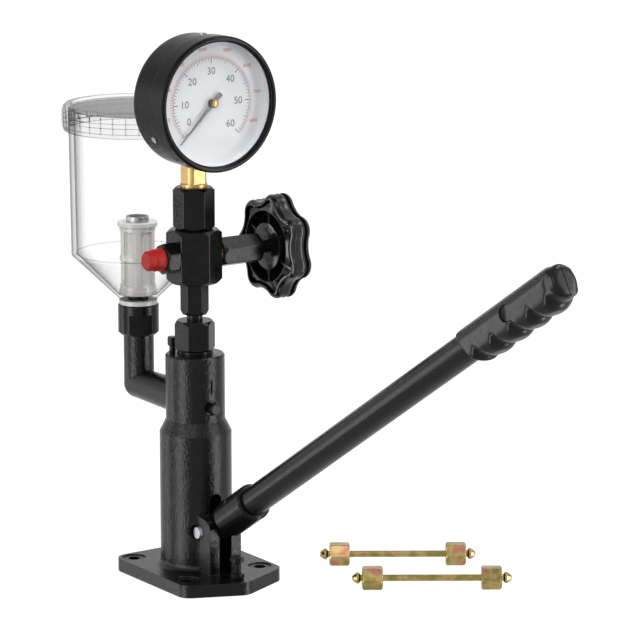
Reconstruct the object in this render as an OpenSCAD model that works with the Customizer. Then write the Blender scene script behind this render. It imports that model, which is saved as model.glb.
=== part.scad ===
// Bench diesel injector tester: a hand pump with a fuel cup, a pressure gauge,
// a shut-off valve and two test pipes. Millimetres, +Z up.
// The origin lies on the pump column's axis at the underside of the base.
// The lever and the gauge face the front, -Y. The fuel cup stands at +Y, the knob at +X.

/* [Base and column] */
// Width of the base plate
base_w = 92.4; // [84:0.2:110]
// From the column axis to the back edge of the base
base_back = 50.6; // [46:0.2:60]
// From the column axis to the side corners of the front edge
base_front = 52.3; // [48:0.1:60]
// From the column axis to the front point of the base
base_nose = 72.8; // [68:0.1:90]
// Thickness of the base plate
base_t = 10.2; // [8:0.1:14]
// Radius of the base plate's corners
base_corner_r = 11; // [3:0.5:12]
// Spacing of the base bolts across the width
bolt_dx = 68; // [60:1:72]
// Spacing of the base bolts along the depth
bolt_dy = 77; // [70:1:84]
// Diameter of the base bolt holes
bolt_d = 9; // [6.6:0.1:11]
// Diameter of the spot faces round the bolt holes
spot_d = 19; // [15:0.5:20]
// Depth of the spot faces
spot_depth = 0.8; // [0.4:0.1:2]
// Radius of the lower column
col_low_r = 28.2; // [26.5:0.1:31]
// Radius of the upper column
col_up_r = 23.2; // [21:0.1:25]
// Height of the top of the lower column
col_low_z = 117; // [112:0.5:122]
// Height of the taper between lower and upper column
col_taper = 10; // [5:0.5:14]
// Height of the column's top face
col_top_z = 178.7; // [176:0.1:186]
// Radius of the cast fillet at the foot of the column
foot_r = 5; // [2:0.5:8]
// Chamfer of the column's top rim
col_rim = 1.2; // [0.5:0.1:2]
// Width of the witness groove on the column's front
groove_w = 1.3; // [0.8:0.1:2]
// Length of the witness groove
groove_l = 10; // [6:0.5:14]
// Height of the middle of the witness groove
groove_z = 155.5; // [152:0.5:165]

/* [Lugs and lever] */
// Gap between the two lugs
lug_gap = 11; // [9:0.2:13]
// Thickness of one lug
lug_t = 9; // [7:0.2:11]
// From the column axis to the front edge of the lugs
lug_front = 41.5; // [40:0.5:46]
// Height of the lugs where they meet the column
lug_top = 56; // [54:0.5:62]
// Drop of the lug's top towards its front edge
lug_drop = 4; // [1:0.5:6]
// Radius of the lug's upper front corner
lug_corner_r = 7; // [3:0.5:8]
// From the column axis forward to the pivot pin
pivot_y = 26; // [24:0.5:28]
// Height of the pivot pin
pivot_z = 41.9; // [40:0.1:44]
// Radius of the pivot pin
pin_r = 4; // [3.5:0.1:4.5]
// Radius of the pivot pin's head
pin_head_r = 5.3; // [4.8:0.1:6]
// Height of the pivot pin's head
pin_head_h = 2.6; // [2:0.1:3.5]
// Angle of the lever above the horizontal at rest
lever_tilt = 32.3; // [30:0.1:36]
// Swing of the lever from rest down to the stop screw
lever_swing = 31; // [24:1:31]
// From the pivot to the nose of the rocker arm
arm_l = 27; // [25:0.5:29]
// Radius of the rocker's nose
nose_r = 7; // [6:0.5:8]
// Height of the rocker arm behind its nose
arm_h = 9; // [7:0.5:10]
// Outer radius of the lever socket
socket_r = 14.5; // [14:0.1:15.5]
// From the pivot to the shoulder of the socket
socket_start = 22; // [20:0.5:26]
// From the pivot to the mouth of the socket
socket_end = 66; // [60:0.5:75]
// Depth of the tube in the socket
socket_depth = 30; // [24:0.5:34]
// Outer radius of the lever tube
tube_r = 11.3; // [10.5:0.1:12]
// Wall of the lever tube
tube_wall = 2; // [1.5:0.1:3]
// From the pivot to the start of the grip
grip_start = 380; // [340:1:400]
// Length of the grip
grip_l = 123; // [115:1:150]
// Width of the grip across its flat sides
grip_w = 25.5; // [25:0.5:32]
// From the tube axis to the top of the grip
grip_top = 13; // [12.5:0.1:16]
// From the tube axis to the bottom of the finger bumps
grip_low = 17; // [16:0.1:20]
// Radius of the finger bumps under the grip
bump_r = 17; // [16.5:0.5:24]
// Spacing of the finger bumps
bump_pitch = 23; // [21:0.5:24]
// Number of finger bumps
bump_count = 5; // [3:1:5]
// From the start of the grip to the round dimple in its sides
dimple_l = 66; // [60:1:80]
// Height of the top of the stop screw
stop_top = 27.6; // [24:0.1:27.6]
// From the column axis forward to the stop screw
stop_y = 57.6; // [56:0.1:60]
// Width across flats of the stop screw and its lock nut
stop_af = 10; // [8:0.5:11]

/* [Pump] */
// Radius of the tappet bore in the column
tappet_bore_r = 16.5; // [15:0.1:18]
// Height of the web that carries the barrel
web_z = 112; // [108:0.5:114]
// Thickness of that web
web_t = 6; // [4:0.5:8]
// Radius of the barrel
barrel_r = 14; // [12:0.1:16]
// Length of the barrel
barrel_l = 47; // [44:0.5:48]
// Radius of the plunger
plunger_r = 4; // [3:0.1:5]
// Height of the plunger's top face at rest
plunger_top = 134; // [130:0.5:135]
// Height of the tappet's guide
tappet_h = 16; // [12:0.5:18]
// Length of the tappet's foot
tappet_foot_l = 16; // [14:0.5:18]
// Radius of the tappet's foot
tappet_foot_r = 6; // [5:0.5:6.5]
// Thickness of the tappet's floor under the spring
tappet_floor = 6; // [4:0.5:8]
// Mean radius of the return spring
spring_r = 11.6; // [10.5:0.1:12]
// Wire diameter of the return spring
spring_wire = 2.8; // [2:0.1:3.2]
// Turns of the return spring
spring_turns = 7; // [5:1:8]
// Thickness of the delivery valve seat
seat_t = 7; // [5:0.5:8]
// Radius of the delivery valve ball
ball_r = 3; // [2.5:0.1:3.5]
// Height of the locating screw on the column's front
locate_z = 138.5; // [136:0.5:142]

/* [Valve group] */
// Width across flats of the union nut
union_af = 28; // [26:0.5:30]
// Height of the union nut
union_h = 23; // [20:0.5:26]
// Width across flats of the lower nipple
nipple_af = 19.5; // [18:0.5:21]
// Height of the lower nipple's hexagon
nipple_h = 25; // [20:0.5:28]
// Width across flats of the valve block
block_af = 38; // [36:0.5:42]
// Height of the valve block
block_h = 42; // [40:0.5:48]
// Radius of the ports in the valve block
port_r = 8; // [7.5:0.1:8.5]
// Depth of the ports in the valve block
port_depth = 11; // [9:0.5:12]
// Width across flats of the gauge coupling
coupling_af = 28.5; // [26:0.5:30]
// Height of the gauge coupling
coupling_h = 33; // [30:0.5:38]
// Width across flats of the outlet nipple
outlet_af = 22; // [20:0.5:24]
// Length of the outlet nipple's hexagon
outlet_l = 11; // [9:0.5:14]
// Radius of the outlet thread
outlet_r = 6.9; // [6:0.1:7]
// Length of the outlet thread
outlet_thread_l = 11; // [9:0.5:12]
// Radius of the outlet dust cap
cap_r = 8.8; // [8.4:0.1:9.5]
// Length of the outlet dust cap
cap_l = 14; // [13:0.5:16]
// Width across flats of the valve bonnet
bonnet_af = 21.5; // [20:0.5:25]
// Length of the valve bonnet outside the block
bonnet_l = 37; // [32:0.5:52]
// Thickness of the brass washer under the bonnet
washer_t = 2.5; // [1.5:0.1:3]
// Radius of the valve stem
stem_r = 5; // [4:0.1:5.5]
// Radius of the star knob over its lobes
knob_r = 42; // [38:0.5:46]
// Number of lobes on the star knob
knob_lobes = 7; // [6:1:8]
// Thickness of the star knob
knob_t = 18.5; // [16:0.5:24]
// Radius of one lobe's tip
lobe_r = 8; // [7:0.5:10.5]
// Depth of the hollows between the lobes
hollow_deep = 5.5; // [4:0.1:6]
// Gap between the end of the bonnet and the knob
knob_gap = 8; // [4:0.5:10]

/* [Gauge] */
// Height of the gauge's middle
gauge_z = 377.9; // [376:0.1:384]
// Radius of the gauge case
case_r = 51; // [48:0.5:53]
// From the stem axis back to the gauge's back face
case_back = 10.5; // [10.5:0.5:14]
// Radius of the round edge at the back of the case
case_edge = 9; // [3:0.5:10]
// From the stem axis forward to the front face of the window
window_y = 34.6; // [33:0.1:37]
// Reach of the bezel's lip over the window, in from the case's radius
bezel_lip = 3.5; // [2.5:0.1:5]
// How far the bezel stands out over the case
bezel_proud = 1.3; // [1.2:0.1:4]
// Wall of the gauge case
case_wall = 1.5; // [1.2:0.1:2.5]
// Length of the pointer from its axis to its tip
pointer_l = 42; // [30:0.5:44]
// Teeth of the pointer's pinion
pinion_teeth = 14; // [13:1:15]
// Teeth that the full circle of the sector would have
sector_teeth = 70; // [70:1:70]
// Module of the movement's teeth
tooth_module = 0.5; // [0.5:0.05:0.55]

/* [Fuel cup] */
// From the column axis back to the cup's axis
cup_y = 82.4; // [77:0.1:84]
// Height of the cast inlet arm
arm_z = 139.5; // [136:0.5:142]
// Radius of the cast inlet arm where it leaves the column
inlet_arm_r = 14; // [12:0.1:15]
// Radius of the cast inlet riser
riser_r = 12.1; // [11.5:0.1:13]
// Height of the top of the riser
riser_top = 180; // [172:0.5:184]
// Radius of the cup's neck fitting
neck_r = 16.3; // [15.5:0.1:18]
// Height of the cup's neck fitting
neck_h = 24.5; // [20:0.5:26]
// Thickness of the gasket under the cup
gasket_t = 3.5; // [2:0.1:4]
// Outer radius of the cup at its mouth
cup_r = 53.7; // [52.6:0.1:58]
// Outer radius of the cup where its cone starts
cup_low_r = 52.6; // [50:0.1:56]
// Wall of the cup
cup_wall = 4; // [3:0.1:5]
// Height of the cup's cone
cone_h = 37; // [32:0.5:42]
// Height of the cup's straight side
cup_h = 116; // [108:0.5:117]
// Height of the screw lid
lid_h = 20.7; // [16:0.1:24]
// How far the screw lid's ribs stand out over the cup's mouth
lid_over = 4.9; // [2.3:0.1:6]
// Number of ribs round the lid
lid_ribs = 36; // [24:1:40]
// Radius of the filter's cage
filter_r = 14.3; // [13:0.1:16]
// Height of the filter's cage
filter_h = 58; // [50:0.5:62]
// Windows round the filter's cage
filter_windows = 6; // [4:1:8]

/* [Test pipes] */
// Length of a test pipe
pipe_l = 124; // [110:1:140]
// Radius of a test pipe's tube
pipe_r = 2.6; // [2.4:0.1:3]
// Width across flats of the pipes' union nuts
pipe_nut_af = 17; // [15:0.5:19]
// Length of the pipes' union nuts
pipe_nut_l = 16; // [14:0.5:18]
// From the pipe's end to the nut
pipe_end_l = 7.7; // [6:0.1:9]
// Direction in which the pipes lie, about the vertical
pipe_turn = -34.5; // [-40:0.5:-30]
// Place of the first end of pipe 1, across
pipe_1_x = 95; // [90:1:110]
// Place of the first end of pipe 1, along
pipe_1_y = -34; // [-40:1:-30]
// Place of the first end of pipe 2, across
pipe_2_x = 76.5; // [70:0.5:90]
// Place of the first end of pipe 2, along
pipe_2_y = -104; // [-115:1:-98]

/* [Clearances] */
// Radial gap of a shaft that turns or slides in its bore
run_gap = 0.05; // [0.02:0.01:0.1]
// Radial gap of a piece that is screwed or pressed home
fit_gap = 0.03; // [0.02:0.01:0.06]
// Gap between pieces that move past each other
free_gap = 0.3; // [0.2:0.05:0.5]

/* [Hidden] */
$fn = 72;

// Cut allowance that carries a tool past a face
over = 1;
// How far the foot fillet is sunk, and how far a bend's ball stands out
foot_sink = 0.2;
bend_proud = 0.15;
// Colours
cast_black = [0.07, 0.07, 0.075];
steel_black = [0.13, 0.13, 0.14];
plastic_black = [0.1, 0.1, 0.1];
zinc = [0.75, 0.76, 0.78];
brass_tone = [0.8, 0.62, 0.28];
yellow_zinc = [0.78, 0.68, 0.38];
clear_tone = [0.85, 0.88, 0.9, 0.35];
white_tone = [0.92, 0.92, 0.9];
red_tone = [0.78, 0.15, 0.1];

// Rocker arm: it swings evenly about the horizontal, and lifts the tappet's flat foot
arm_angle = -lever_swing / 2;
nose_y = -pivot_y + arm_l * cos(arm_angle);
nose_z = pivot_z + arm_l * sin(arm_angle);
foot_z = nose_z + nose_r + free_gap;
guide_z = foot_z + tappet_foot_l;
spring_low = guide_z + tappet_floor;
slot_floor = 20;
slot_arch_z = 65.3;
tongue_t = lug_gap - 2 * free_gap;
tongue_r = 10.5;
// Spot faces on the lugs' outer sides, where the pin's head and clip bear
pin_half = lug_gap / 2 + lug_t - 0.4;
pin_groove_r = pin_r - 0.8;

// Pump stack, from the web upwards
barrel_z = web_z + web_t;
seat_z = barrel_z + barrel_l;
holder_z = seat_z + seat_t;
seat_bore_r = 2;
plunger_collar = 3;
locate_r = 3;
locate_sink = 2;
locate_face_r = 5.6;
bleed_turn = 129;
bleed_ring_r = 18.5;
bleed_r = 2.5;
bleed_depth = 6;
stop_r = 3;
ball_z = holder_z + sqrt(pow(ball_r, 2) - pow(seat_bore_r, 2)) + run_gap;
chamber_top = holder_z + 16;
collar_h = 2.8;
union_z = col_top_z + collar_h + 0.5;
union_top = union_z + union_h;
stud_r = 9;
stud_top = union_top - 5;
nipple_collar_r = 8.6;
nipple_collar_h = 3.3;
nipple_neck_r = 6.2;
nipple_z = union_top + 5;
block_z = nipple_z + nipple_h;
block_top = block_z + block_h;
valve_z = block_z + block_h / 2;
coupling_top = block_top + coupling_h;
passage_r = 2;
drill_r = passage_r - 0.5;
seat_cone_r = 4.5;
fuel_r = 4;
block_x = block_af / 2;

// Valve along X
port_floor = block_x - port_depth;
bonnet_x = block_x + washer_t;
bonnet_end = bonnet_x + bonnet_l;
seal_t = 2;
needle_r = 2.5;
knob_x = bonnet_end + knob_gap;
knob_front = knob_x + knob_t;
hub_r = 18.6;
hub_set = 1;
ring_in_r = 27.8;
knob_plate = 6.5;
ring_depth = knob_t - knob_plate;
pocket_r = 9;
pocket_h = 6;
stem_end = knob_front - pocket_h;
knob_screw_r = 3;
// How the hexagon of the bonnet and the knob's lobes stand about the valve's axis
bonnet_turn = -18;
knob_set = 86;
cap_x = block_x + outlet_l + free_gap;

// Gauge, in a frame whose Z points out of the dial
window_t = 2;
rim_z = window_y - window_t;
window_r = case_r - bezel_lip;
bezel_r = case_r + bezel_proud;
dial_z = window_y - 9.6;
dial_t = 0.8;
hand_z = dial_z + 3;
frame_back_z = 2;
frame_gap = 8;
plate_t = 1.5;
gear_t = 3;
gear_z = frame_back_z + plate_t + 2;
pinion_pitch_r = tooth_module * pinion_teeth / 2;
sector_pitch_r = tooth_module * sector_teeth / 2;
gear_distance = pinion_pitch_r + sector_pitch_r;
block_inner_top = gauge_z - 33;
arbor_r = 1.2;
pillar_x = 22;
pillar_y = -13;
screw_ring_z = 15;
case_screw_r = 1.5;
case_screw_turns = [for (i = [0:2]) -150 + 120 * i];
thread_r = 8.95;
thread_l = 17;
socket_flats = 17;
socket_turned_r = 9.9;

// Fuel cup, from the riser upwards
neck_top = riser_top + neck_h;
cup_z = neck_top + gasket_t;
cone_top = cup_z + cone_h;
cup_top = cone_top + cup_h;
cup_foot_r = 15;
cup_floor = 4.5;
spigot_r = 8;
spigot_l = 10;
spigot_up = gasket_t + cup_floor + 4;
neck_bore_r = fuel_r + 0.5;
neck_flats = 27;
neck_flat_h = 17;
lid_panel = 2.2;
lid_top = cup_top + free_gap + lid_panel + 2;
lid_r = cup_r + lid_over;
lid_skirt_r = lid_r - 1;
filter_z = cup_z + cup_floor + 0.1;
filter_base_h = 3.4;
filter_top_h = 3;
filter_wall = 1.6;
filter_room = filter_h - filter_base_h - filter_top_h;

// Lever
tube_start = socket_end - socket_depth;
grip_end = grip_start + grip_l;
grip_bore_l = 50;
tube_end = grip_start + grip_bore_l;
grip_slant = 16;
function grip_mouth(h) = grip_start + grip_slant * (grip_top - h) / (grip_top + grip_low);
bump_crest = grip_low + 1;
bump_last = 20.5;
set_screw_s = 42;
set_screw_r = 2.5;
set_screw_turn = 135;

// Pipes
pipe_z = pipe_nut_af / 2;
olive_r = 4.4;
pipe_cone_l = 7;
nut_bore_r = 6;
nut_floor = 6;

// Straight sides lie a hair inside the corner circles, so that each crossing is definite
side_share = 0.9995;
function unit(v) = v / norm(v);
function edge_normal(a, b) = let (d = unit(b - a)) [d[1], -d[0]];
function polar(r, angle) = [r * cos(angle), r * sin(angle)];

// Convex outline, listed counter-clockwise, with true round corners of one radius or of a list
module rounded_outline(points, radius) {
    n = len(points);
    r = [for (i = [0:n - 1]) is_list(radius) ? radius[i] : radius];
    side_r = r * side_share;
    before = [for (i = [0:n - 1]) edge_normal(points[(i + n - 1) % n], points[i])];
    after = [for (i = [0:n - 1]) edge_normal(points[i], points[(i + 1) % n])];
    centres = [for (i = [0:n - 1])
        points[i] - r[i] * (before[i] + after[i]) / (1 + before[i] * after[i])];
    polygon([for (i = [0:n - 1])
        each [centres[i] + side_r[i] * before[i], centres[i] + side_r[i] * after[i]]]);
    for (i = [0:n - 1]) translate(centres[i]) circle(r[i]);
}

// Flat bar with round ends of two radii, from point a to point b
module link_outline(a, ra, b, rb) {
    d = b - a;
    along = atan2(d[1], d[0]);
    spread = acos((ra - rb) / norm(d));
    side_a = ra * side_share;
    side_b = rb * side_share;
    polygon([a + polar(side_a, along - spread), b + polar(side_b, along - spread),
        b + polar(side_b, along + spread), a + polar(side_a, along + spread)]);
    translate(a) circle(ra);
    translate(b) circle(rb);
}

// A YZ outline as a plate of thickness t about X = 0
module side_plate(t) {
    rotate([90, 0, 90]) linear_extrude(t, center = true) children();
}

module ring(r_out, r_in, h) {
    difference() {
        cylinder(r = r_out, h = h);
        translate([0, 0, -over]) cylinder(r = r_in, h = h + 2 * over);
    }
}

// Hexagon bar with broken edges and turned chamfers at its ends
hex_break = 0.25;
module hex_bar(af, h, low = 1.5, high = 1.5) {
    corner = af / sqrt(3) - hex_break;
    flat = af / 2 * 0.97;
    intersection() {
        rotate(30) cylinder(r = af / sqrt(3), h = h, $fn = 6);
        rotate_extrude() polygon([[0, 0], [low > 0 ? flat : corner, 0], [corner, low],
            [corner, h - high], [high > 0 ? flat : corner, h], [0, h]]);
    }
}

module to_right() { rotate([0, 90, 0]) children(); }
module to_left() { rotate([0, -90, 0]) children(); }
module to_front() { rotate([90, 0, 0]) children(); }
module gauge_frame() { translate([0, 0, gauge_z]) to_front() children(); }
module cup_frame() { translate([0, cup_y, 0]) children(); }
module valve_frame() { translate([0, 0, valve_z]) children(); }
// Lever frame: Z runs along the lever away from the pivot, Y points to its upper side
module lever_frame() { translate([0, -pivot_y, pivot_z]) rotate([90 - lever_tilt, 0, 0]) children(); }

// Coil spring between two heights as one tube; its end turns lie closer together
coil_rings = 8;
wire_sides = 6;
end_turn = 1;
function coil_rise(t, turns, length, wire) =
    let (closed = wire + 0.5, open = (length - wire - 2 * end_turn * closed) / (turns - 2 * end_turn))
    t < end_turn ? t * closed
    : t < turns - end_turn ? end_turn * closed + (t - end_turn) * open
    : end_turn * closed + (turns - 2 * end_turn) * open + (t - turns + end_turn) * closed;
function coil_point(t, r, turns, length, wire) =
    [r * cos(360 * t), r * sin(360 * t), wire / 2 + coil_rise(t, turns, length, wire)];
function coil_gap(r, turns, length, wire) = min([for (i = [0:coil_rings * (turns - 1)])
    norm(coil_point(i / coil_rings + 1, r, turns, length, wire)
        - coil_point(i / coil_rings, r, turns, length, wire)) - wire]);
module coil(r, turns, length, wire) {
    steps = turns * coil_rings;
    points = [for (i = [0:steps]) for (k = [0:wire_sides - 1])
        let (t = i / coil_rings, c = coil_point(t, r, turns, length, wire), a = 360 * k / wire_sides)
        c + wire / 2 * [cos(a) * cos(360 * t), cos(a) * sin(360 * t), sin(a)]];
    sides = [for (i = [0:steps - 1]) for (k = [0:wire_sides - 1])
        let (a = i * wire_sides + k, b = i * wire_sides + (k + 1) % wire_sides)
        each [[a, b, a + wire_sides], [b, b + wire_sides, a + wire_sides]]];
    first = [for (k = [1:wire_sides - 2]) [0, k + 1, k]];
    last = [for (k = [1:wire_sides - 2]) [steps * wire_sides, steps * wire_sides + k,
        steps * wire_sides + k + 1]];
    polyhedron(points, concat(sides, first, last));
}
spring_l = web_z - spring_low - 2 * fit_gap;
echo("least gap in the return spring", coil_gap(spring_r, spring_turns, spring_l, spring_wire));

// Involute teeth
pressure = 20;
tooth_play = 0.06;
function involute(r, base) = r <= base ? 0 : sqrt(pow(r / base, 2) - 1) * 180 / PI - acos(base / r);
function tooth_half(r, teeth) = let (pitch = tooth_module * teeth / 2, base = pitch * cos(pressure))
    90 / teeth - tooth_play / pitch * 90 / PI + involute(pitch, base) - involute(r, base);
function tooth_radii(teeth) = let (pitch = tooth_module * teeth / 2)
    [pitch - 1.25 * tooth_module, max(pitch * cos(pressure), pitch - 1.2 * tooth_module),
        pitch, pitch + 0.45 * tooth_module, pitch + 0.8 * tooth_module];
function tooth_points(teeth, angle) = let (radii = tooth_radii(teeth), n = len(radii))
    concat([for (i = [0:n - 1]) polar(radii[i], angle - tooth_half(radii[i], teeth))],
        [for (i = [n - 1:-1:0]) polar(radii[i], angle + tooth_half(radii[i], teeth))]);

// Castings and the pump

module lug_outline() {
    rounded_outline([[-lug_front, 1], [0, 1], [0, lug_top],
        [-pivot_y + 4, lug_top], [-lug_front, lug_top - lug_drop]], lug_corner_r);
}

module pump_body() {
    nose = [[base_w / 2, base_back], [-base_w / 2, base_back], [-base_w / 2, -base_front],
        [0, -base_nose], [base_w / 2, -base_front]];
    taper_z = col_low_z + col_taper;
    color(cast_black) difference() {
        union() {
            linear_extrude(base_t) rounded_outline(nose, base_corner_r);
            rotate_extrude() {
                polygon([[0, base_t / 2], [col_low_r, base_t / 2], [col_low_r, col_low_z],
                    [col_up_r, taper_z], [col_up_r, col_top_z - col_rim], [col_up_r - col_rim, col_top_z],
                    [0, col_top_z]]);
                // Cast fillet at the foot, sunk a little into the plate
                difference() {
                    translate([col_low_r - over, base_t / 2])
                        square([foot_r + over, base_t / 2 + foot_r - foot_sink]);
                    translate([col_low_r + foot_r, base_t + foot_r - foot_sink]) circle(foot_r);
                }
            }
            for (side = [-1, 1])
                translate([side * (lug_gap + lug_t) / 2, 0, 0]) side_plate(lug_t) lug_outline();
            // Cast inlet: an arm from the column, a round corner and a riser
            translate([0, cup_y, arm_z]) to_front() cylinder(r1 = riser_r, r2 = inlet_arm_r, h = cup_y);
            translate([0, cup_y, arm_z]) sphere(riser_r + bend_proud);
            translate([0, cup_y, arm_z]) cylinder(r = riser_r, h = riser_top - arm_z);
        }
        for (sx = [-1, 1], sy = [-1, 1]) translate([sx * bolt_dx / 2, sy * bolt_dy / 2, 0]) {
            translate([0, 0, -over]) cylinder(d = bolt_d, h = base_t + 2 * over);
            translate([0, 0, base_t - spot_depth]) cylinder(d = spot_d, h = foot_r + spot_depth);
        }
        // Bores for tappet, plunger and barrel
        translate([0, 0, -over]) cylinder(r = tappet_bore_r, h = web_z + over);
        cylinder(r = plunger_r + plunger_collar, h = col_top_z);
        translate([0, 0, barrel_z]) cylinder(r = barrel_r, h = col_top_z - barrel_z + over);
        // Slot for the rocker, with an arched top
        to_front() linear_extrude(lug_front + over) {
            translate([-lug_gap / 2, slot_floor]) square([lug_gap, slot_arch_z - slot_floor]);
            translate([0, slot_arch_z]) circle(lug_gap / 2);
        }
        // Pivot bore, and spot faces for the pin's head and clip
        translate([0, -pivot_y, pivot_z]) to_right() {
            cylinder(r = pin_r + fit_gap, h = 4 * lug_t, center = true);
            for (side = [0, 180]) rotate([side, 0, 0]) translate([0, 0, pin_half])
                cylinder(r = pin_head_r + 1, h = col_low_r);
        }
        // Witness groove and the locating screw's hole on the front
        translate([-groove_w / 2, -col_up_r - over, groove_z - groove_l / 2])
            cube([groove_w, over + 1.5, groove_l]);
        translate([0, 0, locate_z]) to_front() {
            cylinder(r = locate_r, h = col_up_r + over);
            translate([0, 0, col_up_r - locate_sink]) cylinder(r = locate_face_r, h = locate_sink + over);
        }
        // Fuel passage through the riser and the arm
        translate([0, 0, arm_z]) rotate([-90, 0, 0]) cylinder(r = fuel_r, h = cup_y + fuel_r);
        translate([0, cup_y, arm_z - fuel_r / 2]) cylinder(r = neck_bore_r, h = riser_top - arm_z + fuel_r);
        translate([0, cup_y, riser_top - spigot_l]) cylinder(r = spigot_r, h = spigot_l + over);
        // Bleed screw hole in the column's top
        rotate(bleed_turn) translate([bleed_ring_r, 0, col_top_z - bleed_depth])
            cylinder(r = bleed_r, h = bleed_depth + over);
        // Stop screw hole
        translate([0, -stop_y, -over]) cylinder(r = stop_r + fit_gap, h = base_t + 2 * over);
    }
}

module pump_barrel() {
    groove_half = 4.5;
    color(zinc) translate([0, 0, barrel_z]) difference() {
        cylinder(r = barrel_r - fit_gap, h = barrel_l);
        translate([0, 0, -over]) cylinder(r = plunger_r + run_gap, h = barrel_l + 2 * over);
        // Feed groove and the two fill ports
        translate([0, 0, arm_z - barrel_z - groove_half]) difference() {
            cylinder(r = barrel_r + over, h = 2 * groove_half);
            cylinder(r = barrel_r - 2.5, h = 2 * groove_half);
        }
        translate([0, 0, arm_z - barrel_z]) to_front() cylinder(r = 1.5, h = 3 * barrel_r, center = true);
    }
}

module plunger() {
    color(zinc) translate([0, 0, spring_low]) union() {
        cylinder(r = plunger_r + plunger_collar, h = plunger_collar);
        cylinder(r = plunger_r, h = plunger_top - spring_low);
    }
}

module tappet() {
    color(steel_black) difference() {
        union() {
            translate([0, 0, foot_z]) cylinder(r = tappet_foot_r, h = tappet_foot_l);
            translate([0, 0, guide_z]) cylinder(r = tappet_bore_r - run_gap, h = tappet_h);
        }
        translate([0, 0, spring_low]) cylinder(r = spring_r + spring_wire / 2 + 1, h = tappet_h);
    }
}

module plunger_spring() {
    color(zinc) translate([0, 0, spring_low + fit_gap]) coil(spring_r, spring_turns, spring_l, spring_wire);
}

module barrel_screw() {
    head_r = 4.3;
    head_h = 7;
    tip = barrel_r - 1.5;
    color(zinc) translate([0, 0, locate_z]) to_front() {
        translate([0, 0, tip]) cylinder(r = locate_r - fit_gap, h = col_up_r - locate_sink - tip);
        translate([0, 0, col_up_r - locate_sink]) cylinder(r = head_r, h = head_h);
        translate([0, 0, col_up_r - locate_sink + head_h]) cylinder(r1 = head_r, r2 = head_r - 0.8, h = 0.8);
    }
}

module bleed_screw() {
    head_af = 7;
    shank_l = 5;
    color(zinc) rotate(bleed_turn) translate([bleed_ring_r, 0, col_top_z]) {
        translate([0, 0, -bleed_depth]) cylinder(r = bleed_r - fit_gap, h = bleed_depth + shank_l);
        translate([0, 0, shank_l]) hex_bar(head_af, head_af, 1.2, 1.2);
    }
}

module delivery_seat() {
    color(zinc) translate([0, 0, seat_z]) ring(barrel_r - fit_gap, seat_bore_r, seat_t);
}

module delivery_ball() {
    color(zinc) translate([0, 0, ball_z]) sphere(ball_r);
}

delivery_wire = 0.8;
delivery_turns = 6;
delivery_spring_r = 2.4;
delivery_spring_z = ball_z + sqrt(pow(ball_r, 2) - pow(delivery_spring_r - delivery_wire / 2, 2)) + fit_gap;
delivery_spring_l = chamber_top - delivery_spring_z - fit_gap;
echo("least gap in the delivery spring",
    coil_gap(delivery_spring_r, delivery_turns, delivery_spring_l, delivery_wire));
module delivery_spring() {
    color(zinc) translate([0, 0, delivery_spring_z])
        coil(delivery_spring_r, delivery_turns, delivery_spring_l, delivery_wire);
}

module delivery_holder() {
    color(steel_black) difference() {
        union() {
            translate([0, 0, holder_z]) cylinder(r = barrel_r - fit_gap, h = col_top_z - holder_z);
            translate([0, 0, col_top_z]) cylinder(r = barrel_r, h = collar_h);
            translate([0, 0, holder_z]) cylinder(r = stud_r, h = stud_top - holder_z);
        }
        translate([0, 0, holder_z - over]) cylinder(r = ball_r + 0.6, h = chamber_top - holder_z + over);
        cylinder(r = drill_r, h = stud_top + over);
        translate([0, 0, stud_top - 2]) cylinder(r1 = drill_r, r2 = seat_cone_r, h = 2.01);
    }
}

module union_nut() {
    color(steel_black) translate([0, 0, union_z]) difference() {
        rotate(9) hex_bar(union_af, union_h, 1, 3);
        translate([0, 0, -over])
            cylinder(r = stud_r + fit_gap, h = stud_top + nipple_collar_h + 0.2 - union_z + over);
        cylinder(r = nipple_neck_r + fit_gap, h = union_h + over);
    }
}

module valve_nipple() {
    color(steel_black) difference() {
        union() {
            translate([0, 0, stud_top + fit_gap]) cylinder(r = nipple_collar_r, h = nipple_collar_h);
            translate([0, 0, stud_top + 1]) cylinder(r = nipple_neck_r, h = nipple_z - stud_top);
            translate([0, 0, nipple_z]) rotate(-3) hex_bar(nipple_af, nipple_h, 3, 0);
            translate([0, 0, block_z]) cylinder(r = port_r - fit_gap, h = port_depth - 0.5);
        }
        cylinder(r = drill_r, h = block_top);
    }
}

// Valve group

module valve_block() {
    color(steel_black) difference() {
        translate([0, 0, block_z]) hex_bar(block_af, block_h, 3, 3);
        translate([0, 0, block_z - over]) cylinder(r = port_r, h = port_depth + over);
        translate([0, 0, block_top - port_depth]) cylinder(r = port_r, h = port_depth + over);
        cylinder(r = passage_r, h = block_top);
        valve_frame() {
            to_right() translate([0, 0, port_floor]) cylinder(r = port_r, h = port_depth + over);
            to_right() cylinder(r = needle_r, h = block_x);
            to_left() translate([0, 0, port_floor]) cylinder(r = port_r, h = port_depth + over);
            to_left() cylinder(r = passage_r, h = block_x);
        }
    }
}

module outlet_nipple() {
    outlet_end = block_x + outlet_l + outlet_thread_l;
    cone_l = 3;
    color(steel_black) valve_frame() to_left() difference() {
        union() {
            translate([0, 0, port_floor + 0.5]) cylinder(r = port_r - fit_gap, h = port_depth - 0.5);
            translate([0, 0, block_x]) rotate(22) hex_bar(outlet_af, outlet_l, 0.8, 1.8);
            translate([0, 0, block_x]) cylinder(r = outlet_r, h = outlet_l + outlet_thread_l);
        }
        cylinder(r = drill_r, h = outlet_end + over);
        translate([0, 0, outlet_end - cone_l]) cylinder(r1 = drill_r, r2 = seat_cone_r, h = cone_l + 0.01);
    }
}

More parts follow.
